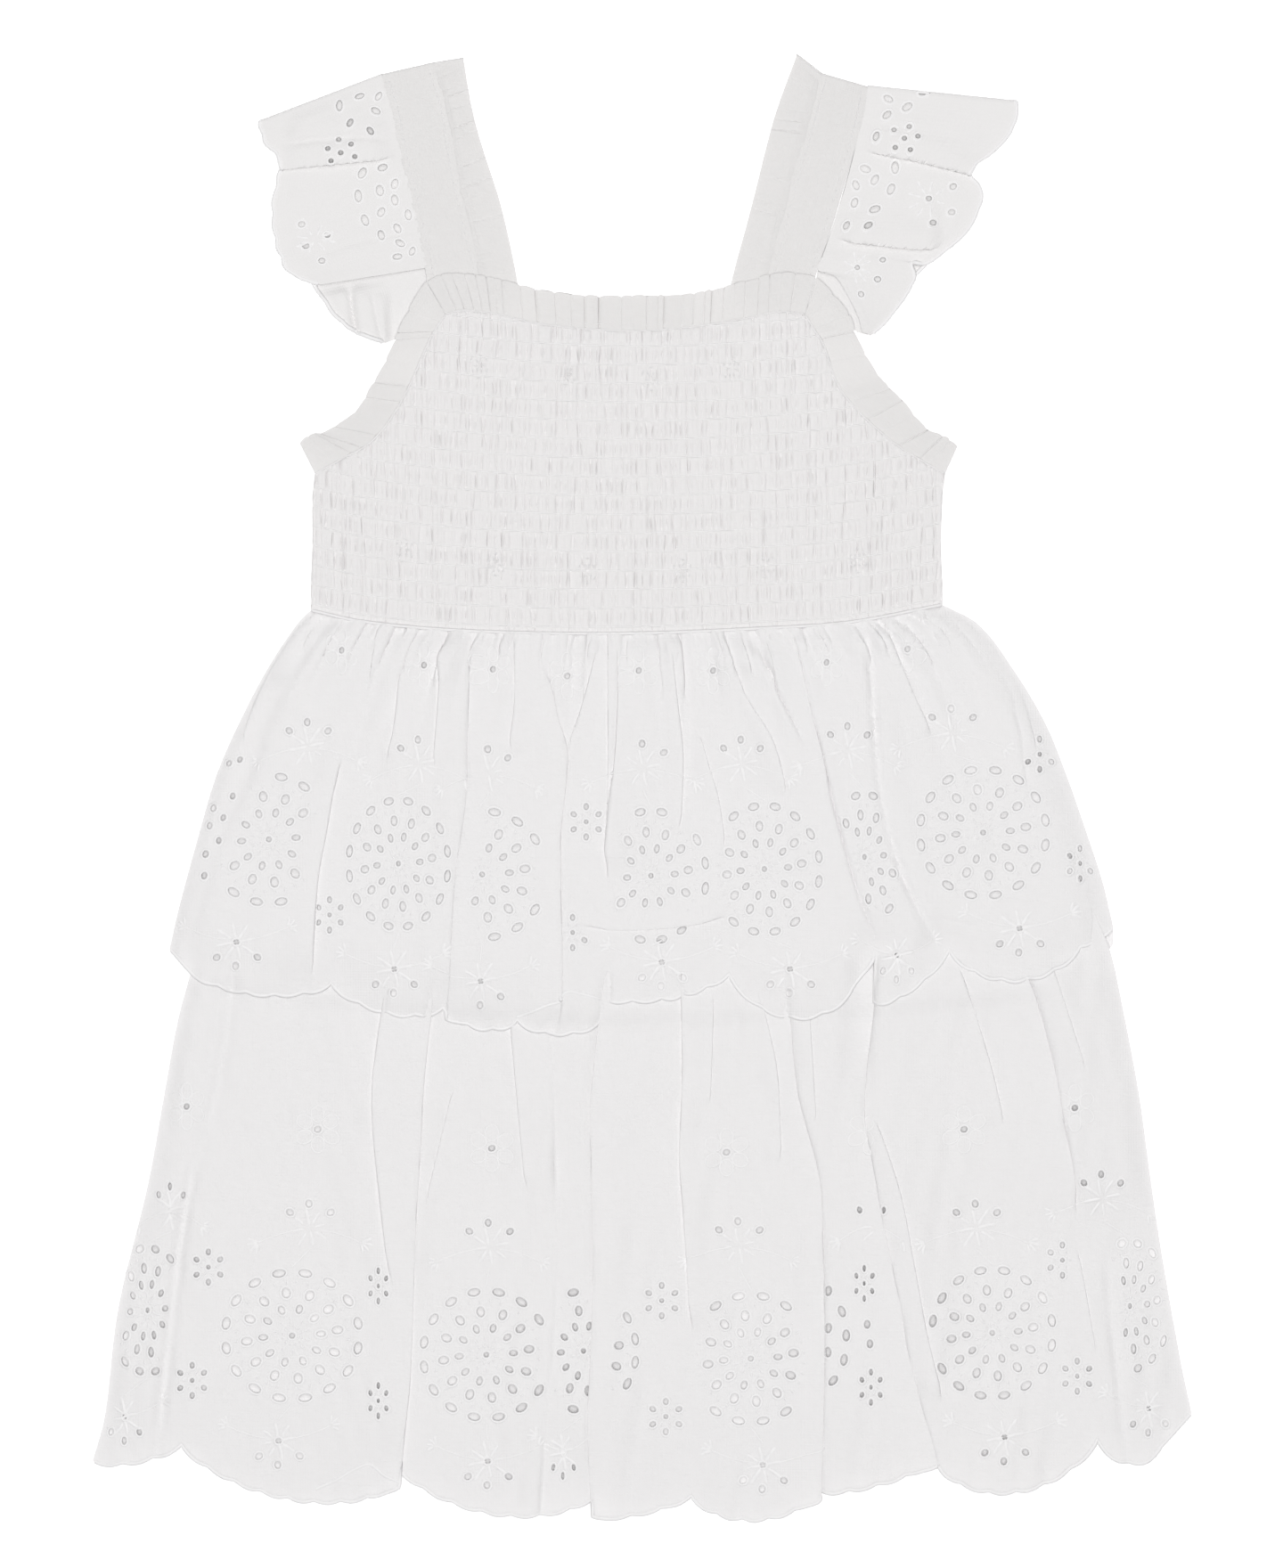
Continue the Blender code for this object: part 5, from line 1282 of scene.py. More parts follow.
def cloth_mesh(name, corners, triangles, flat):
    """A mesh from corners in millimetres, with the flat cloth as its UV map, in metres."""
    mesh = bpy.data.meshes.new(name)
    mesh.from_pydata((np.asarray(corners) * MM).tolist(), [], list(map(list, triangles)))
    layer = mesh.uv_layers.new(name="cloth")
    loops = np.zeros(len(mesh.loops), np.int32)
    mesh.loops.foreach_get("vertex_index", loops)
    layer.data.foreach_set("uv", (np.asarray(flat)[loops] * MM).astype(np.float32).ravel())
    mesh.shade_smooth()
    return mesh


def as_piece(name, mesh, material, wall=None):
    """A piece of the dress, with a wall if its mesh is an open surface."""
    piece = linked(name, mesh)
    mesh.materials.append(material)
    if wall:
        solidify = piece.modifiers.new("wall", "SOLIDIFY")
        solidify.thickness = wall * MM
        solidify.offset = 0
        graph = bpy.context.evaluated_depsgraph_get()
        walled = bpy.data.meshes.new_from_object(
            piece.evaluated_get(graph), preserve_all_data_layers=True, depsgraph=graph)
        walled.set_sharp_from_angle(angle=math.radians(60))
        piece.modifiers.clear()
        piece.data = walled
    return piece


def cloth_piece(name, place, work, points, material, mirrored=False):
    """A panel of cloth with its eyelets cut through, laid as its drape says."""
    corners, triangles, _ = flat_triangles(work.outline, work.holes, points)
    if mirrored:
        triangles = triangles[:, ::-1]
    mesh = cloth_mesh(name, place(corners), triangles, corners)
    return as_piece(name, mesh, material, CLOTH)


def line_mesh(name, lines):
    """A mesh of bare edges from lines (points, closed), in millimetres."""
    corners, edges = [], []
    for points, closed in lines:
        first = len(corners)
        corners += (np.asarray(points) * MM).tolist()
        edges += [(i, i + 1) for i in range(first, len(corners) - 1)]
        if closed:
            edges.append((len(corners) - 1, first))
    mesh = bpy.data.meshes.new(name)
    mesh.from_pydata(corners, edges, [])
    return mesh


def point_mesh(name, places, directions, normals, sizes):
    """A mesh of bare points with the turn and size of what stands on each."""
    mesh = bpy.data.meshes.new(name)
    mesh.from_pydata((places * MM).tolist(), [], [])
    turns = []
    for direction, normal in zip(directions, normals):
        up = Vector(normal).normalized()
        ahead = (Vector(direction) - up * Vector(direction).dot(up)).normalized()
        turns.append(Matrix((ahead, up.cross(ahead), up)).transposed().to_euler())
    for name, values in (("turn", turns), ("size", np.asarray(sizes) * MM)):
        layer = mesh.attributes.new(name, "FLOAT_VECTOR", "POINT")
        layer.data.foreach_set("vector", np.asarray(values, np.float32).ravel())
    return mesh


def widened(loop, margin):
    """A loop moved outwards all round."""
    away = loop - loop.mean(axis=0)
    return loop + away * margin / np.linalg.norm(away, axis=1)[:, None]


def embroider(name, place, work, trees, material, slot, mirrored=False):
    """The raised stitching of one piece: rims of its eyelets, lines, hem edge and leaves."""
    threads, leaves = trees
    up = -1 if mirrored else 1
    pieces = []
    rims = [(widened(loop, RIM_OUT), True) for loop in work.holes]
    hems = [(points, False) for points in work.hems]
    for part, lines, radius, sides, height in (
            ("eyelet_rims", rims, RIM, 6, RIM_SINKS),
            ("stitched_lines", work.lines, LINE_RADIUS, 6, LINE_SINKS),
            ("hem_edge", hems, HEM_RADIUS, 6, HEM_SINKS)):
        if not lines:
            continue
        points = lifted(place, np.concatenate([line for line, _ in lines]), up * height)
        ends = np.cumsum([len(line) for line, _ in lines])[:-1]
        raised = [(line, closed) for line, (_, closed) in zip(np.split(points, ends), lines)]
        pieces.append(grown(f"{name}_{part}", line_mesh(part, raised), threads, material,
                            Radius=radius * MM, Sides=sides))
    if work.leaves:
        table = np.array(work.leaves)
        spots = table[:, :2]
        ahead = np.column_stack([np.cos(table[:, 4]), np.sin(table[:, 4])])
        directions = place(spots + 0.5 * ahead) - place(spots - 0.5 * ahead)
        sizes = np.column_stack([table[:, 2], table[:, 3], np.full(len(table), LEAF_HEIGHT)])
        points = point_mesh("leaves", lifted(place, spots, up * LEAF_LIFT), directions,
                            up * facing(place, spots), sizes)
        pieces.append(grown(name + "_satin_leaves", points, leaves, material))
    for piece in pieces:
        settle(piece, slot)
    return pieces


def settle(piece, slot, *nodes):
    """A finished piece rides on the dress, in place of its solids."""
    if nodes:
        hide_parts(*nodes)
    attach(piece, "root")
    return piece


# --- the bodice

def evenly(path, spacing):
    """Points along a path at even lengths, its ends included."""
    steps = sum(math.dist(a, b) for a, b in zip(path, path[1:])) / spacing
    return along(path, by_length(path, np.linspace(0, 1, max(round(steps), 2) + 1)))


def bodice_outline(inset, spacing):
    """The bodice, counter-clockwise from the left of its waist."""
    path = np.concatenate([evenly(WAIST, spacing),
                           evenly(BODICE_SIDE_RIGHT[::-1], spacing),
                           evenly(ARMHOLE_SEAM_RIGHT[::-1], spacing),
                           evenly(NECK_SEAM[::-1], spacing)[1:-1],
                           evenly(ARMHOLE_SEAM_LEFT, spacing),
                           evenly(BODICE_SIDE_LEFT, spacing)])
    middle_x = (WAIST[0][0] + WAIST[-1][0]) / 2
    armhole_y = ARMHOLE_SEAM_LEFT[-1][1]
    path[:, 0] += np.where(path[:, 0] < middle_x, inset, -inset)
    path[:, 1] -= np.where(path[:, 1] >= armhole_y, inset, 0)
    return path


def shirring_y(x, share):
    """Height of a shirring row: parallel to the waist low down and to the neck high up."""
    return waist_y(x) + share * (SHIRRING_TOP + SHIRRING_CURVE * x * x - waist_y(x))


def slab(name, outline, edge_z, points, heights, floor, material):
    """A closed piece of cloth with a worked top over a plain floor."""
    corners, triangles, sources = flat_triangles(outline, [], points)
    tops = np.concatenate([np.full(len(outline), edge_z), heights])[sources]
    under, plain, under_sources = flat_triangles(outline, [], points[:0])
    top_of = {source: i for i, source in enumerate(sources)}
    under_of = {source: i + len(corners) for i, source in enumerate(under_sources)}
    faces = triangles.tolist() + (plain[:, ::-1] + len(corners)).tolist()
    count = len(outline)
    for i in range(count):
        after = (i + 1) % count
        faces.append([top_of[i], under_of[i], under_of[after], top_of[after]])
    places = np.concatenate([np.column_stack([corners, tops]),
                             np.column_stack([under, np.full(len(under), floor)])])
    mesh = cloth_mesh(name, places, faces, np.concatenate([corners, under]))
    mesh.set_sharp_from_angle(angle=math.radians(70))
    return as_piece(name, mesh, material)


def shirring_points(outline):
    """Points of the shirred cloth with their heights, and the stitched rows across it.

    The cloth is puffed between the rows and split by narrow slits, which join up from row
    to row but wander, slant and deepen unevenly.
    """
    random = np.random.default_rng(7)
    left, right = WAIST[0][0], WAIST[-1][0]
    pitch = (right - left) / SHIRRING_GATHERS
    numbers = np.arange(-1, SHIRRING_GATHERS + 2)
    shares = SHIRRING_FIRST + SHIRRING_PITCH * np.arange(-1, SHIRRING_ROWS + 2)
    wander = np.cumsum(random.normal(0, 0.5, (len(shares), len(numbers))), axis=0)
    wander -= wander.mean(axis=0)
    crossing = numbers + 0.2 * np.tanh(wander) + random.uniform(-0.18, 0.18, wander.shape)
    found, heights = [], []
    for band in range(len(shares) - 1):
        depth = 0.3 + 0.7 * random.random(len(numbers)) ** 2
        depth[random.random(len(numbers)) < 0.12] *= 0.3
        lift = random.uniform(0.75, 1.0, len(numbers))
        for s in BAND_STEPS:
            middle = crossing[band] * (1 - s) + crossing[band + 1] * s
            puffed = math.sin(math.pi * s) ** 0.6 if s else 0.0
            for cross, rise in GATHER_SHAPE:
                gap = np.append(np.diff(middle), 1.0)
                ahead = cross > 0.5
                owner = np.append(depth[1:], 0.5) if ahead else depth
                number = middle + cross * gap
                slit = 1 - rise
                height = (ROW_HEIGHT + (PUFF_HEIGHT - ROW_HEIGHT) * puffed) * lift
                height = height - slit * owner * (0.15 + 0.95 * puffed) * SLIT_DEPTH
                x = left + number * pitch
                share = shares[band] + s * SHIRRING_PITCH
                found.append(np.column_stack([x, shirring_y(x, share)]))
                heights.append(height)
    found, heights = np.concatenate(found), np.concatenate(heights)
    keep = within(outline, found)
    keep[keep] = nearest(found[keep], outline) > EDGE_ROOM
    rows = []
    for row in range(1, len(shares) - 1):
        x = np.arange(left + 1.5, right - 1, pitch / 3)
        y = shirring_y(x, shares[row])
        line = np.column_stack([x, y])
        inside = within(outline, line)
        inside[inside] = nearest(line[inside], outline) > ROW_MARGIN
        if inside.sum() > 6:
            rows.append(line[inside])
    return found[keep], heights[keep] + FLOOR, rows


def make_bodice(materials, trees):
    """The shirred front with its stitched rows and flowers, and the back under it."""
    outline = bodice_outline(0, 1.2)
    points, heights, rows = shirring_points(outline)
    edge = nearest(points, outline)
    heights = heights - EDGE_ROLL * np.exp(-edge / EDGE_ROLL_REACH)
    for x, y in BODICE_FLOWERS:
        away = np.hypot(points[:, 0] - x, points[:, 1] - y)
        heights = heights - DIMPLE_DEPTH * np.exp(-(away / DIMPLE_REACH) ** 2)
    front = slab("bodice_front_shirred", outline, FLOOR + EDGE_HEIGHT, points, heights, FLOOR,
                 materials["shirred"])
    top = KDTree(len(points))
    for i, point in enumerate(points):
        top.insert((point[0], point[1], 0), i)
    top.balance()

    def level(x, y):
        spots = top.find_n((x, y, 0), 3)
        return sum(heights[spot[1]] for spot in spots) / len(spots)

    lines = [(np.array([(x, y, level(x, y) + 0.05) for x, y in row]), False) for row in rows]
    stitched = grown("bodice_front_stitched_rows", line_mesh("rows", lines), trees[0],
                     materials["thread"], Radius=ROW_RADIUS * MM, Sides=4)
    spots, ahead = [], []
    random = np.random.default_rng(31)
    for x, y in BODICE_FLOWERS:
        for i in range(12):
            angle = math.pi * i / 6 + random.uniform(-0.15, 0.15)
            radius = (4.4 if i % 2 else 2.3) * random.uniform(0.85, 1.1)
            px, py = polar(x, y, radius, angle, 0.7)
            spots.append((px, py, level(px, py) + 0.1))
            turn = angle + (0 if i % 2 == 0 else math.pi / 2)
            ahead.append((0.7 * math.cos(turn), math.sin(turn), 0))
    petals = point_mesh("petals", np.array(spots), ahead, [(0, 0, 1)] * len(spots),
                        [PETAL_SIZE] * len(spots))
    flowers = grown("bodice_front_flowers", petals, trees[1], materials["thread"])
    back_outline = bodice_outline(BODICE_BACK_INSET, 3.0)
    inner = cleared(lattice((-125, 55), (116, 180), 6.0), back_outline, [], 2.0, 0)
    back = slab("bodice_back_cotton", back_outline, BODICE_BACK_TOP, inner,
                np.full(len(inner), BODICE_BACK_TOP), 0.02, materials["shirred"])
    settle(front, "smocked_cotton", "bodice_front")
    settle(stitched, "smocked_cotton")
    settle(flowers, "smocked_cotton")
    settle(back, "smocked_cotton", "bodice_back")


# --- frills and straps

def grid_piece(name, places, flat, material, wall=CLOTH):
    """A piece from rows of points, each row as long as the first."""
    rows, columns = places.shape[:2]
    index = np.arange(rows * columns).reshape(rows, columns)
    faces = np.stack([index[:-1, :-1], index[:-1, 1:], index[1:, 1:], index[1:, :-1]], axis=-1)
    mesh = cloth_mesh(name, places.reshape(-1, 3), faces.reshape(-1, 4), flat.reshape(-1, 2))
    return as_piece(name, mesh, material, wall)


def pleats(marks, deep, seed):
    """Columns of a pleated strip: place along it, height, depth of its folds, poke of its end."""
    random = np.random.default_rng(seed)
    columns = []
    for i, (start, end) in enumerate(zip(marks, marks[1:])):
        full = random.uniform(0.8, 1.0)
        poke = random.uniform(0.2, 1.0)
        turned = random.random() < 0.25
        for cross, rise in PLEAT_SHAPE:
            cross = 1 - cross if turned else cross
            sunk = (1 - rise) * (deep[i] if cross < 0.5 else deep[i + 1])
            columns.append((start + (end - start) * cross, full, sunk,
                            poke * rise - 0.5 * sunk))
    return np.array(sorted(columns)).T


def even_marks(count, seed, spread=0.22):
    """Uneven fold marks from 0 to 1, and how deep each fold is."""
    random = np.random.default_rng(seed)
    marks = np.arange(count + 1) + random.uniform(-spread, spread, count + 1)
    marks[0], marks[-1] = 0, count
    return marks / count, random.uniform(0.45, 1.0, count + 1)


def frill(name, seam, edge, marks, deep, height, base, drop, seed, material, levels=11):
    """A pleated frill from its seam to its free edge."""
    t, full, sunk, ends = pleats(marks, deep, seed)
    inner, outer = along(seam, t), along(edge, t)
    away = outer - inner
    reach = np.linalg.norm(away, axis=1)
    away /= reach[:, None]
    places, flat = [], []
    for row in range(levels):
        r = row / (levels - 1)
        out = SEAM_CLEARANCE + r * (reach - SEAM_CLEARANCE + FRILL_POKE * ends * r)
        rise = full * (1 - sunk ** (1 + FRILL_FADES * r))
        lift = base + height * rise * (0.6 + 0.4 * soft_step(r / 0.5)) - drop * r ** 3
        places.append(np.column_stack([inner + away * out[:, None], lift]))
        flat.append(np.column_stack([t * FRILL_LENGTH, np.full(len(t), r * FRILL_WIDTH)]))
    return grid_piece(name, np.array(places)[::-1], np.array(flat)[::-1], material)


def make_frills(materials, trees):
    """The neck's and the armholes' frills, pleated in front and plain behind."""
    xs = [NECK_SEAM[0][0]] + NECK_FOLDS + [NECK_SEAM[-1][0]]
    fine = along(NECK_SEAM, np.linspace(0, 1, 300))[:, 0]
    marks = np.interp(xs, fine, np.linspace(0, 1, 300))
    deep = [NECK_DEEP.get(x, NECK_SHALLOW) for x in xs]
    deep[0] = deep[-1] = END_DEEP
    front = frill("neck_frill_front_cotton", NECK_SEAM, NECK_EDGE, marks, deep, NECK_HEIGHT,
                  FRILL_BASE, FRILL_DROPS, 3, materials["plain"])
    settle(front, "plain_cotton", "neck_frill_front")
    cords = []
    for path in (NECK_SEAM, ARMHOLE_SEAM_LEFT, ARMHOLE_SEAM_RIGHT):
        middle = along(path, np.linspace(0.004, 0.996, 150))
        height = np.full(len(middle), FLOOR + EDGE_HEIGHT - CORD_SINKS)
        cords.append((np.column_stack([middle, height]), False))
    cord = grown("neck_and_armhole_seams", line_mesh("seams", cords), trees[0],
                 materials["shirred"], Radius=SEAM_CORD * MM, Sides=6)
    settle(cord, "plain_cotton")
    seams = {"left": (ARMHOLE_SEAM_LEFT, ARMHOLE_EDGE_LEFT),
             "right": (ARMHOLE_SEAM_RIGHT, ARMHOLE_EDGE_RIGHT)}
    for seed, (side, (seam, edge)) in enumerate(seams.items()):
        marks, deep = even_marks(ARMHOLE_PLEATS, 40 + seed)
        deep[0] = deep[-1] = END_DEEP
        if side == "right":
            seam, edge = seam[::-1], edge[::-1]
        piece = frill(f"armhole_frill_front_{side}_cotton", seam, edge, marks,
                      ARMHOLE_SHALLOW * deep, ARMHOLE_HEIGHT, FRILL_BASE, FRILL_DROPS,
                      50 + seed, materials["plain"])
        settle(piece, "plain_cotton", f"armhole_frill_front_{side}")
    backs = {"neck_frill_back": (NECK_SEAM[3:7], NECK_EDGE[3:7]),
             "armhole_frill_back_left": (ARMHOLE_SEAM_LEFT[3:], ARMHOLE_EDGE_LEFT[3:]),
             "armhole_frill_back_right": (ARMHOLE_SEAM_RIGHT[3:][::-1],
                                          ARMHOLE_EDGE_RIGHT[3:][::-1])}
    for seed, (name, (seam, edge)) in enumerate(backs.items()):
        marks, deep = even_marks(BACK_PLEATS, 60 + seed)
        piece = frill(name + "_cotton", seam, edge, marks, deep, BACK_HEIGHT, BACK_LIES, 0,
                      70 + seed, materials["plain"])
        settle(piece, "plain_cotton", name)


def strip_piece(name, place, t, across, width, length, material):
    """A folded strip as a piece: t along it, across from its inner to its outer edge."""
    grid = np.stack(np.meshgrid(t, across), axis=-1)
    places = place(grid.reshape(-1, 2)).reshape(*grid.shape[:2], 3)
    return grid_piece(name, places, grid * (length, width), material)


def make_straps(materials, trees):
    """The straps and the pleated frills on their inner edges, folded over the shoulders."""
    for side, rows, frill_rows in (("left", STRAP_LEFT, STRAP_FRILL_LEFT),
                                   ("right", STRAP_RIGHT, STRAP_FRILL_RIGHT)):
        seed = 80 + len(side)

        def wrinkled(t, r, x, y):
            waves = 0.5 + 0.5 * np.sin(0.55 * x * (1 if side == "left" else -1) + 0.34 * y)
            near_top = soft_step((t - 0.45) / 0.4) * soft_step((1 - t) / 0.08)
            faint = ripples(x, y, seed, 16, 0.12, 1.0)
            return (0.45 * waves * near_top * (4 * r * (1 - r)) + faint) * soft_step((1 - t) / 0.1)

        place = over_shoulder(rows, rows, STRAP_MIDDLE, STRAP_TURN, wrinkled)
        strap = strip_piece(f"strap_{side}_cotton", place, np.linspace(0, 1, 181),
                            np.linspace(-STRAP_OVER, 1 + STRAP_OVER, 15), 17, 180,
                            materials["plain"])
        settle(strap, "plain_cotton", f"strap_{side}")
        stitches = strap_stitches(f"strap_{side}_stitches", place, trees, materials["thread"])
        settle(stitches, "plain_cotton")
        turn = 3 / (4 * STRAP_PLEATS + 3)
        start = 0.5 - turn / 2
        marks, deep = even_marks(STRAP_PLEATS + 3, seed + 1, 0.3)
        columns, full, sunk, _ = pleats(marks, deep, seed + 2)
        t = np.concatenate([columns * start, np.linspace(start, 1 - start, 6)[1:],
                            np.linspace(1 - start, 1, 12)[1:]])

        def pleated(t, r, *_):
            free = soft_step((1 - t) / 0.1) * soft_step((t - 0.08) / 0.16)
            slant = np.clip(t - STRAP_SLANT * r, 0, 1)
            folded = np.interp(slant, columns, sunk) ** (1 + FRILL_FADES * r)
            rise = np.interp(slant, columns, full) * (1 - folded)
            return STRAP_FRILL_HEIGHT * (soft_step(r / 0.3) * (1 - 0.3 * r) * rise * free - 0.12)

        fine = np.unique(np.concatenate([t, np.linspace(0, start, 170)]).round(3))
        place = over_shoulder(frill_rows, frill_rows, STRAP_MIDDLE, turn, pleated)
        piece = strip_piece(f"strap_frill_{side}_cotton", place, fine, np.linspace(0, 1, 13),
                            13, 260, materials["plain"])
        settle(piece, "plain_cotton", f"strap_frill_{side}")


def strap_stitches(name, place, trees, material):
    """Two rows of machine stitches along a strap, near its edges."""
    spots, ahead = [], []
    for r in STITCH_ROWS:
        t = np.linspace(*STITCH_RUN)
        points = np.column_stack([t, np.full(len(t), r)])
        places = place(points)
        spots.append(places + (0, 0, CLOTH / 2 + 0.04))
        ahead.append(np.gradient(places, axis=0))
    spots, ahead = np.concatenate(spots), np.concatenate(ahead)
    sizes = np.tile(STITCH_SIZE, (len(spots), 1))
    points = point_mesh("stitches", spots, ahead, [(0, 0, 1)] * len(spots), sizes)
    return grown(name, points, trees[1], material)


# --- sleeves

def cloth_spot(place, spots):
    """Where points seen on a sleeve lie in its own cloth, on its front if they can."""
    a, b = np.meshgrid(np.arange(0, SLEEVE_LENGTH, 0.5), np.arange(0, SLEEVE_WIDTH + 0.1, 0.5))
    grid = np.column_stack([a.ravel(), b.ravel()])
    grid = grid[np.abs(grid[:, 0] / SLEEVE_LENGTH - 0.5) > 0.015]
    behind = 4.0 * (grid[:, 0] > SLEEVE_LENGTH / 2)
    seen = place(grid)[:, :2]
    found = []
    for spot in spots:
        i = np.argmin(((seen - spot) ** 2).sum(axis=1) + behind)
        at = grid[i]
        around = place(at + [(0.5, 0), (-0.5, 0), (0, 0.5), (0, -0.5)])[:, :2]
        slopes = np.column_stack([around[0] - around[1], around[2] - around[3]])
        move = np.linalg.lstsq(slopes, spot - seen[i], rcond=None)[0]
        found.append(at + np.clip(move, -1, 1))
    return np.array(found)


def make_sleeves(materials, trees):
    """The flutter sleeves: border cloth gathered into the straps, with their eyelets."""
    sleeves = {"left": (SLEEVE_FRONT_LEFT, SLEEVE_BACK_LEFT, SLEEVE_FOLDS_LEFT,
                        SLEEVE_EYELETS_LEFT, SLEEVE_STARS_LEFT),
               "right": (SLEEVE_FRONT_RIGHT, SLEEVE_BACK_RIGHT, SLEEVE_FOLDS_RIGHT,
                         SLEEVE_EYELETS_RIGHT, SLEEVE_STARS_RIGHT)}
    for seed, (side, (front, back, folds, eyelets, stars)) in enumerate(sleeves.items()):
        place = sleeve_drape(front, back, folds, 90 + seed)
        run = np.arange(0, SLEEVE_LENGTH + 0.1, 1.0)
        wave = np.abs(np.sin(math.pi * run / SLEEVE_SCALLOP))
        wavy = SLEEVE_WIDTH - SLEEVE_SCALLOP_DEPTH + SLEEVE_SCALLOP_DEPTH * wave
        ends = np.arange(1.0, SLEEVE_WIDTH - 1.5, 1.2)
        outline = np.concatenate([
            np.column_stack([run, np.zeros(len(run))]),
            np.column_stack([np.full(len(ends), SLEEVE_LENGTH), ends]),
            np.column_stack([run, wavy])[::-1],
            np.column_stack([np.zeros(len(ends)), ends])[::-1]])
        work = Work(outline, [], SLEEVE_MARGIN)
        for x, y, length, width, turn in eyelets:
            loop = cloth_spot(place, oval(x, y, length, width, math.radians(turn)))
            area = np.sum(loop[:, 0] * np.roll(loop[:, 1], -1)
                          - np.roll(loop[:, 0], -1) * loop[:, 1])
            loop = loop if area > 0 else loop[::-1]
            middle = loop.mean(axis=0)
            work.cut(loop, *middle, np.linalg.norm(loop - middle, axis=1).mean())
        for x, y in cloth_spot(place, np.array(stars, float)):
            for i in range(8):
                angle = math.pi * i / 4 + 0.3
                work.leaf(*polar(x, y, 4.4, angle), 5.6, 1.3, angle)
        work.hems.append(np.column_stack([run, wavy - 0.35])[1:-1])
        points = np.concatenate([lattice((0, 0), (SLEEVE_LENGTH, 14), SLEEVE_STEP),
                                 lattice((0, 14), (SLEEVE_LENGTH, SLEEVE_WIDTH), 1.4)])
        creases = crease_points([fold for fold in folds if fold.lean], 1.6)
        found = cloth_spot(place, creases)
        found = found[np.linalg.norm(place(found)[:, :2] - creases, axis=1) < 1.0]
        points = cleared(np.concatenate([found, points]), outline, work.holes, 0.5, 0.35)
        points = thinned(points, 0.4)
        piece = cloth_piece(f"sleeve_{side}_eyelet_cloth", place, work, points,
                            materials["sleeve"], mirrored=side == "right")
        settle(piece, "eyelet_cotton", f"sleeve_{side}")
        trims = embroider(f"sleeve_{side}", place, work, trees, materials["thread"],
                          "eyelet_cotton", side == "right")


# --- the skirt's two tiers

def panel_points(work, folds, boxes):
    """Points inside a panel: dense along its creases, even elsewhere, off its eyelets."""
    sharp = [fold for fold in folds if fold.crease < WIDEST_CREASE]
    fields = [crease_points(sharp, CREASE_STEP)]
    for low, high, step in boxes:
        points = lattice(low, high, step)
        fields.append(points[~near_creases(sharp, points)])
    points = cleared(np.concatenate(fields), work.outline, work.holes, EDGE_ROOM, RIM_ROOM)
    return thinned(points, POINT_ROOM)


def border(work, folds, medallions, stars, small, petals):
    """The border's motifs: medallions between stars, flowers and sprigs."""
    for ring in medallions:
        medallion(work, ring, folds)
    for mark in stars:
        star(work, mark)
    for x, y, squeeze in small:
        small_flower(work, x, y, squeeze)
    for x, y, squeeze in petals:
        petal_flower(work, x, y, squeeze)
    t = np.linspace(0, 1, 5)[:, None]
    for mark in stars:
        for ring in medallions:
            if abs(mark.x - ring.x) < 12:
                side = 1 if mark.side == "waist" else -1
                start = np.array((mark.x, mark.y - side * 8))
                end = np.array((ring.x, ring.y + side * (ring.ry + 2)))
                work.line(start * (1 - t) + end * t)


def tier_front(name, place, outline, hem, folds, fine, motifs, eyelets, corners, behind, boxes,
               materials, trees):
    """A tier's gathered, folded and embroidered front, with its raised stitching."""
    work = Work(outline, folds + fine, PANEL_MARGIN)
    border(work, folds, *motifs)
    for x, y, length, width, turn in eyelets:
        work.hole(x, y, length, width, math.radians(turn), 1.0, corners)
    work.hems += [np.array(hem[1:-1]) + (0, HEM_INSET), behind]
    points = panel_points(work, folds + fine, boxes)
    piece = cloth_piece(name + "_eyelet_cloth", place, work, points, materials["eyelet"])
    settle(piece, "eyelet_cotton", name)
    return piece, embroider(name, place, work, trees, materials["thread"], "eyelet_cotton")


def tier_back(name, place, outline, low, high, step, edge, material):
    """A tier's plain back."""
    points = cleared(lattice(low, high, step), outline, [], edge, 0)
    piece = cloth_piece(name + "_cloth", place, Work(outline, [], 0), points, material)
    return settle(piece, "eyelet_cotton", name)


def make_upper_tier(materials, trees):
    """The upper tier, over the lower one, with the waist seam."""
    hem = scalloped(UPPER_HEM, HEM_SPACING, SMALL_SCALLOP, SCALLOP_DEPTH)
    outline = tier_outline(gathered_top(260, 0), UPPER_SIDE_LEFT, UPPER_SIDE_RIGHT, hem, 1.2)
    boxes = [((-130, 36), (126, 70), WAIST_STEP), ((-178, -92), (178, 36), FINE_STEP)]
    piece, trims = tier_front(
        "upper_tier_front", upper_front, outline, hem, UPPER_FOLDS,
        UPPER_CREASES + WAIST_GATHERS, (UPPER_MEDALLIONS, UPPER_STARS, UPPER_SMALL, UPPER_PETALS),
        UPPER_SIDE_EYELETS, 9, along(UPPER_HEM_BEHIND, np.linspace(0, 1, 60)), boxes, materials,
        trees)
    x = np.linspace(WAIST[0][0] + 0.5, WAIST[-1][0] - 0.5, 240)
    seam = np.column_stack([x, waist_y(x) - 0.1, np.full(len(x), SEAM_HEIGHT)])
    waist = grown("waist_seam", line_mesh("seam", [(seam, False)]), trees[0],
                  materials["eyelet"], Radius=SEAM_RADIUS * MM, Sides=6)
    trims.append(settle(waist, "eyelet_cotton"))
    low = [(x, back_hem_y(x)) for x in np.linspace(-172, 172, 80)]
    outline = tier_outline(gathered_top(60, 1), UPPER_SIDE_LEFT, UPPER_SIDE_RIGHT, low, 4.0)
    piece = tier_back("upper_tier_back", lying, outline, (-180, -80), (180, 70), HIDDEN_STEP, 2.0,
                      materials["eyelet"])


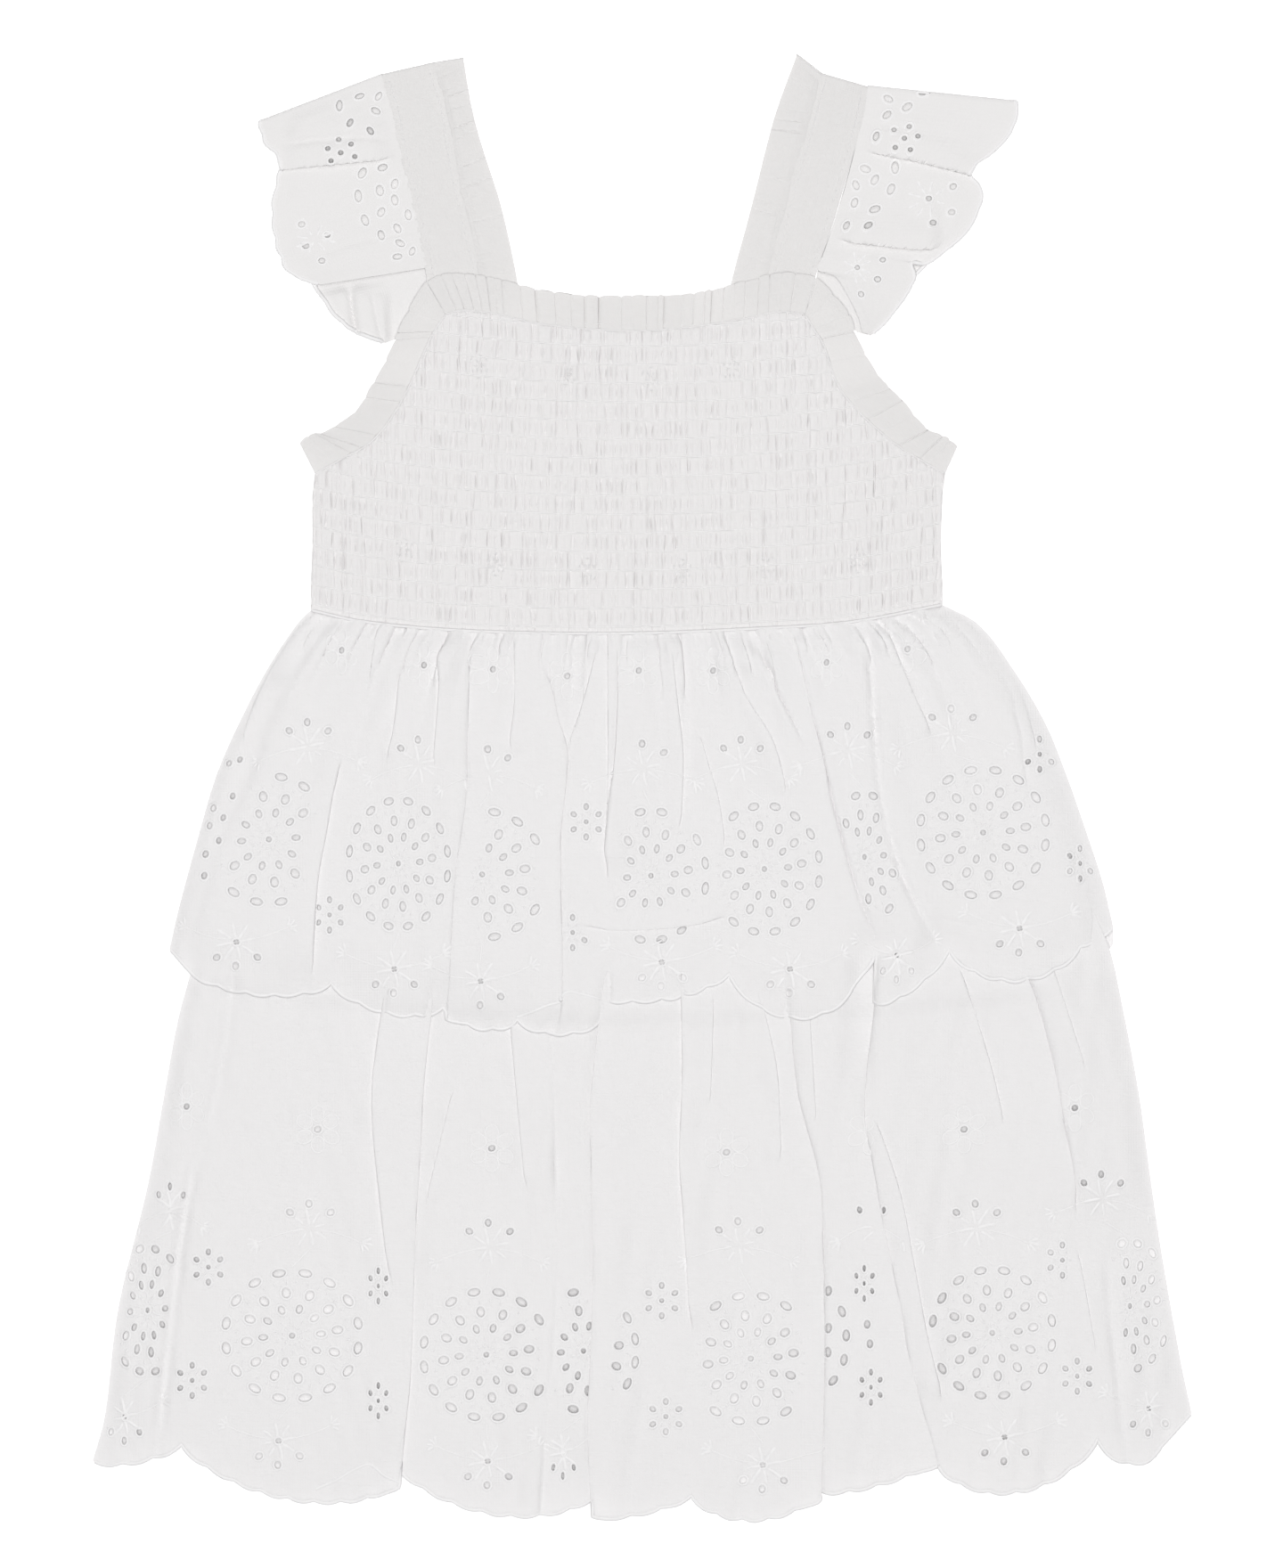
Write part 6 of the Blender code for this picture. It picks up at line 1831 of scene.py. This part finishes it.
def make_lower_tier(materials, trees):
    """The lower tier: plain under the upper one, folded and embroidered below it."""
    hem = scalloped(LOWER_HEM, HEM_SPACING, SMALL_SCALLOP, SCALLOP_DEPTH)
    outline = tier_outline(gathered_top(90, LOWER_TOP_INSET), LOWER_SIDE_LEFT,
                           LOWER_SIDE_RIGHT, hem, 1.4)
    boxes = [((-185, -60), (185, 70), HIDDEN_STEP), ((-206, -275), (206, -60), FINE_STEP)]
    piece, trims = tier_front(
        "lower_tier_front", lower_front, outline, hem, LOWER_FOLDS, LOWER_CREASES,
        (LOWER_MEDALLIONS, LOWER_STARS, LOWER_SMALL, LOWER_PETALS), LOWER_FOLD_EYELETS, 12,
        along(LOWER_HEM_BEHIND, np.linspace(0, 1, 50)), boxes, materials, trees)
    back_hem = np.array(hem) + (0, LOWER_BACK_LIFT)
    outline = tier_outline(gathered_top(60, LOWER_TOP_INSET + SEAM_CLEARANCE), LOWER_SIDE_LEFT,
                           LOWER_SIDE_RIGHT, back_hem.tolist(), 3.0)
    piece = tier_back("lower_tier_back", lower_back, outline, (-206, -275), (206, 70),
                      BACK_STEP_LENGTH, 1.2, materials["eyelet"])


# --- materials

def new_material(name):
    """A material with its node tree and its shader."""
    material = bpy.data.materials.new(name)
    material.use_nodes = True
    return material, material.node_tree, material.node_tree.nodes["Principled BSDF"]


def tinted(tree, shader, source, colour, darkest, span=(0, 1)):
    """The colour of a shader, a little darker where a pattern is low."""
    ramp = add_node(tree, "ValToRGB", [("Fac", source)])
    for stop, place, share in zip(ramp.color_ramp.elements, span, (darkest, 1)):
        stop.position = place
        stop.color = (*(share * part for part in colour), 1)
    tree.links.new(ramp.outputs["Color"], shader.inputs["Base Color"])


def cotton(name, colour, slub, weave, through=0.35):
    """White cotton: a fine weave with uneven slubs both ways, and faintly uneven whiteness."""
    material, tree, shader = new_material(name)
    cloth = add_node(tree, "UVMap")
    cloth.uv_map = "cloth"
    flat = cloth.outputs[0]

    def added(first, second):
        return add_node(tree, "Math", [(0, first), (1, second)]).outputs[0]

    slubs, threads = [], []
    for scale in SLUB_SCALES:
        spread = add_node(tree, "Mapping", [("Vector", flat)], Scale=scale)
        slubs.append(add_node(tree, "TexNoise", [("Vector", spread.outputs[0])], Scale=1.0,
                              Detail=3.0, Roughness=0.6).outputs["Fac"])
    both = added(*slubs)
    for turn in (0, math.pi / 2):
        spread = add_node(tree, "Mapping", [("Vector", flat)], Rotation=(0, 0, turn))
        threads.append(add_node(tree, "TexWave", [("Vector", spread.outputs[0])], Scale=THREADS,
                                Distortion=0.6, Detail=1.0).outputs["Fac"])
    fine = add_node(tree, "Bump", [("Height", added(*threads))], Strength=weave,
                    Distance=WEAVE_RELIEF)
    rough = add_node(tree, "Bump", [("Height", both), ("Normal", fine.outputs[0])],
                     Strength=slub, Distance=SLUB_RELIEF)
    tree.links.new(rough.outputs[0], shader.inputs["Normal"])
    large = add_node(tree, "TexNoise", [("Vector", flat)], Scale=28.0, Detail=2.0)
    mixed = added(large.outputs["Fac"], both)
    tinted(tree, shader, mixed, colour, 0.965, (0.9, 1.9))
    set_inputs(shader, Roughness=0.88, Sheen_Weight=0.12, Specular_IOR_Level=0.25,
               Subsurface_Weight=through, Subsurface_Radius=(1, 1, 1),
               Subsurface_Scale=0.8 * MM)
    return material


def satin_thread(name, colour):
    """Embroidery cotton: a little brighter and smoother than the cloth."""
    material, tree, shader = new_material(name)
    place = add_node(tree, "TexCoord")
    grain = add_node(tree, "TexNoise", [("Vector", place.outputs["Object"])], Scale=3500.0,
                     Detail=1.0)
    bump = add_node(tree, "Bump", [("Height", grain.outputs["Fac"])], Strength=0.3,
                    Distance=THREAD_RELIEF)
    tree.links.new(bump.outputs[0], shader.inputs["Normal"])
    tinted(tree, shader, grain.outputs["Fac"], colour, 0.96)
    set_inputs(shader, Roughness=0.6, Sheen_Weight=0.2)
    return material


# --- the studio

def make_studio():
    """A plain pale floor, soft even light from above, and a camera straight over the dress."""
    mesh = bpy.data.meshes.new("floor")
    mesh.from_pydata([(x * FLOOR_HALF, y * FLOOR_HALF, 0) for x, y in
                      ((-1, -1), (1, -1), (1, 1), (-1, 1))], [], [(0, 1, 2, 3)])
    floor = linked("floor", mesh)
    pale, _, shader = new_material("pale_floor")
    set_inputs(shader, Base_Color=(0.93, 0.93, 0.93, 1), Roughness=1.0, Specular_IOR_Level=0.0,
               Emission_Color=(1, 1, 1, 1), Emission_Strength=FLOOR_GLOW)
    mesh.materials.append(pale)
    world = bpy.data.worlds.new("studio")
    world.use_nodes = True
    set_inputs(world.node_tree.nodes["Background"], Color=(1, 1, 1, 1), Strength=WORLD_LIGHT)
    bpy.context.scene.world = world
    for name, place, size, power in LIGHTS:
        light = bpy.data.lights.new(name, "AREA")
        light.shape = "SQUARE"
        light.size = size
        light.energy = power
        lamp = linked(name, light)
        lamp.location = place
        lamp.rotation_euler = (-Vector(place)).to_track_quat("-Z", "Y").to_euler()
    camera = bpy.data.cameras.new("camera")
    camera.sensor_fit = "VERTICAL"
    camera.sensor_height = 36
    camera.lens = camera.sensor_height * (CAMERA_HEIGHT - GARMENT_HEIGHT) / FIELD_HEIGHT
    camera.clip_end = 20
    eye = linked("camera", camera)
    eye.location = (0, CAMERA_Y, CAMERA_HEIGHT)
    bpy.context.scene.camera = eye
    bpy.context.scene.view_settings.view_transform = "Standard"


def main():
    make_studio()
    trees = (thread_tree(), leaf_tree())
    materials = {
        "eyelet": cotton("eyelet_cotton_lawn", EYELET_COLOUR, 0.35, 0.2),
        # The sleeves' colour is painted shade: the eyelet cloth made darker for the weaker light
        # at the top of the dress.
        "sleeve": cotton("sleeve_cotton_lawn_painted_shade", SLEEVE_SHADED_COLOUR, 0.35, 0.2, 0.05),
        # Partly the shirred cloth's own tone, partly painted shade for the weaker light over the
        # bodice.
        "shirred": cotton("shirred_cotton_lawn", SHIRRED_TONE_AND_SHADE_COLOUR, 0.3, 0.2),
        # Partly the plain cloth's own tone, partly painted shade for the weaker light on the
        # straps and frills.
        "plain": cotton("plain_cotton_lawn", PLAIN_TONE_AND_SHADE_COLOUR, 0.35, 0.2),
        "thread": satin_thread("embroidery_thread", THREAD_COLOUR),
    }
    make_lower_tier(materials, trees)
    make_upper_tier(materials, trees)
    make_bodice(materials, trees)
    make_sleeves(materials, trees)
    make_straps(materials, trees)
    make_frills(materials, trees)


main()
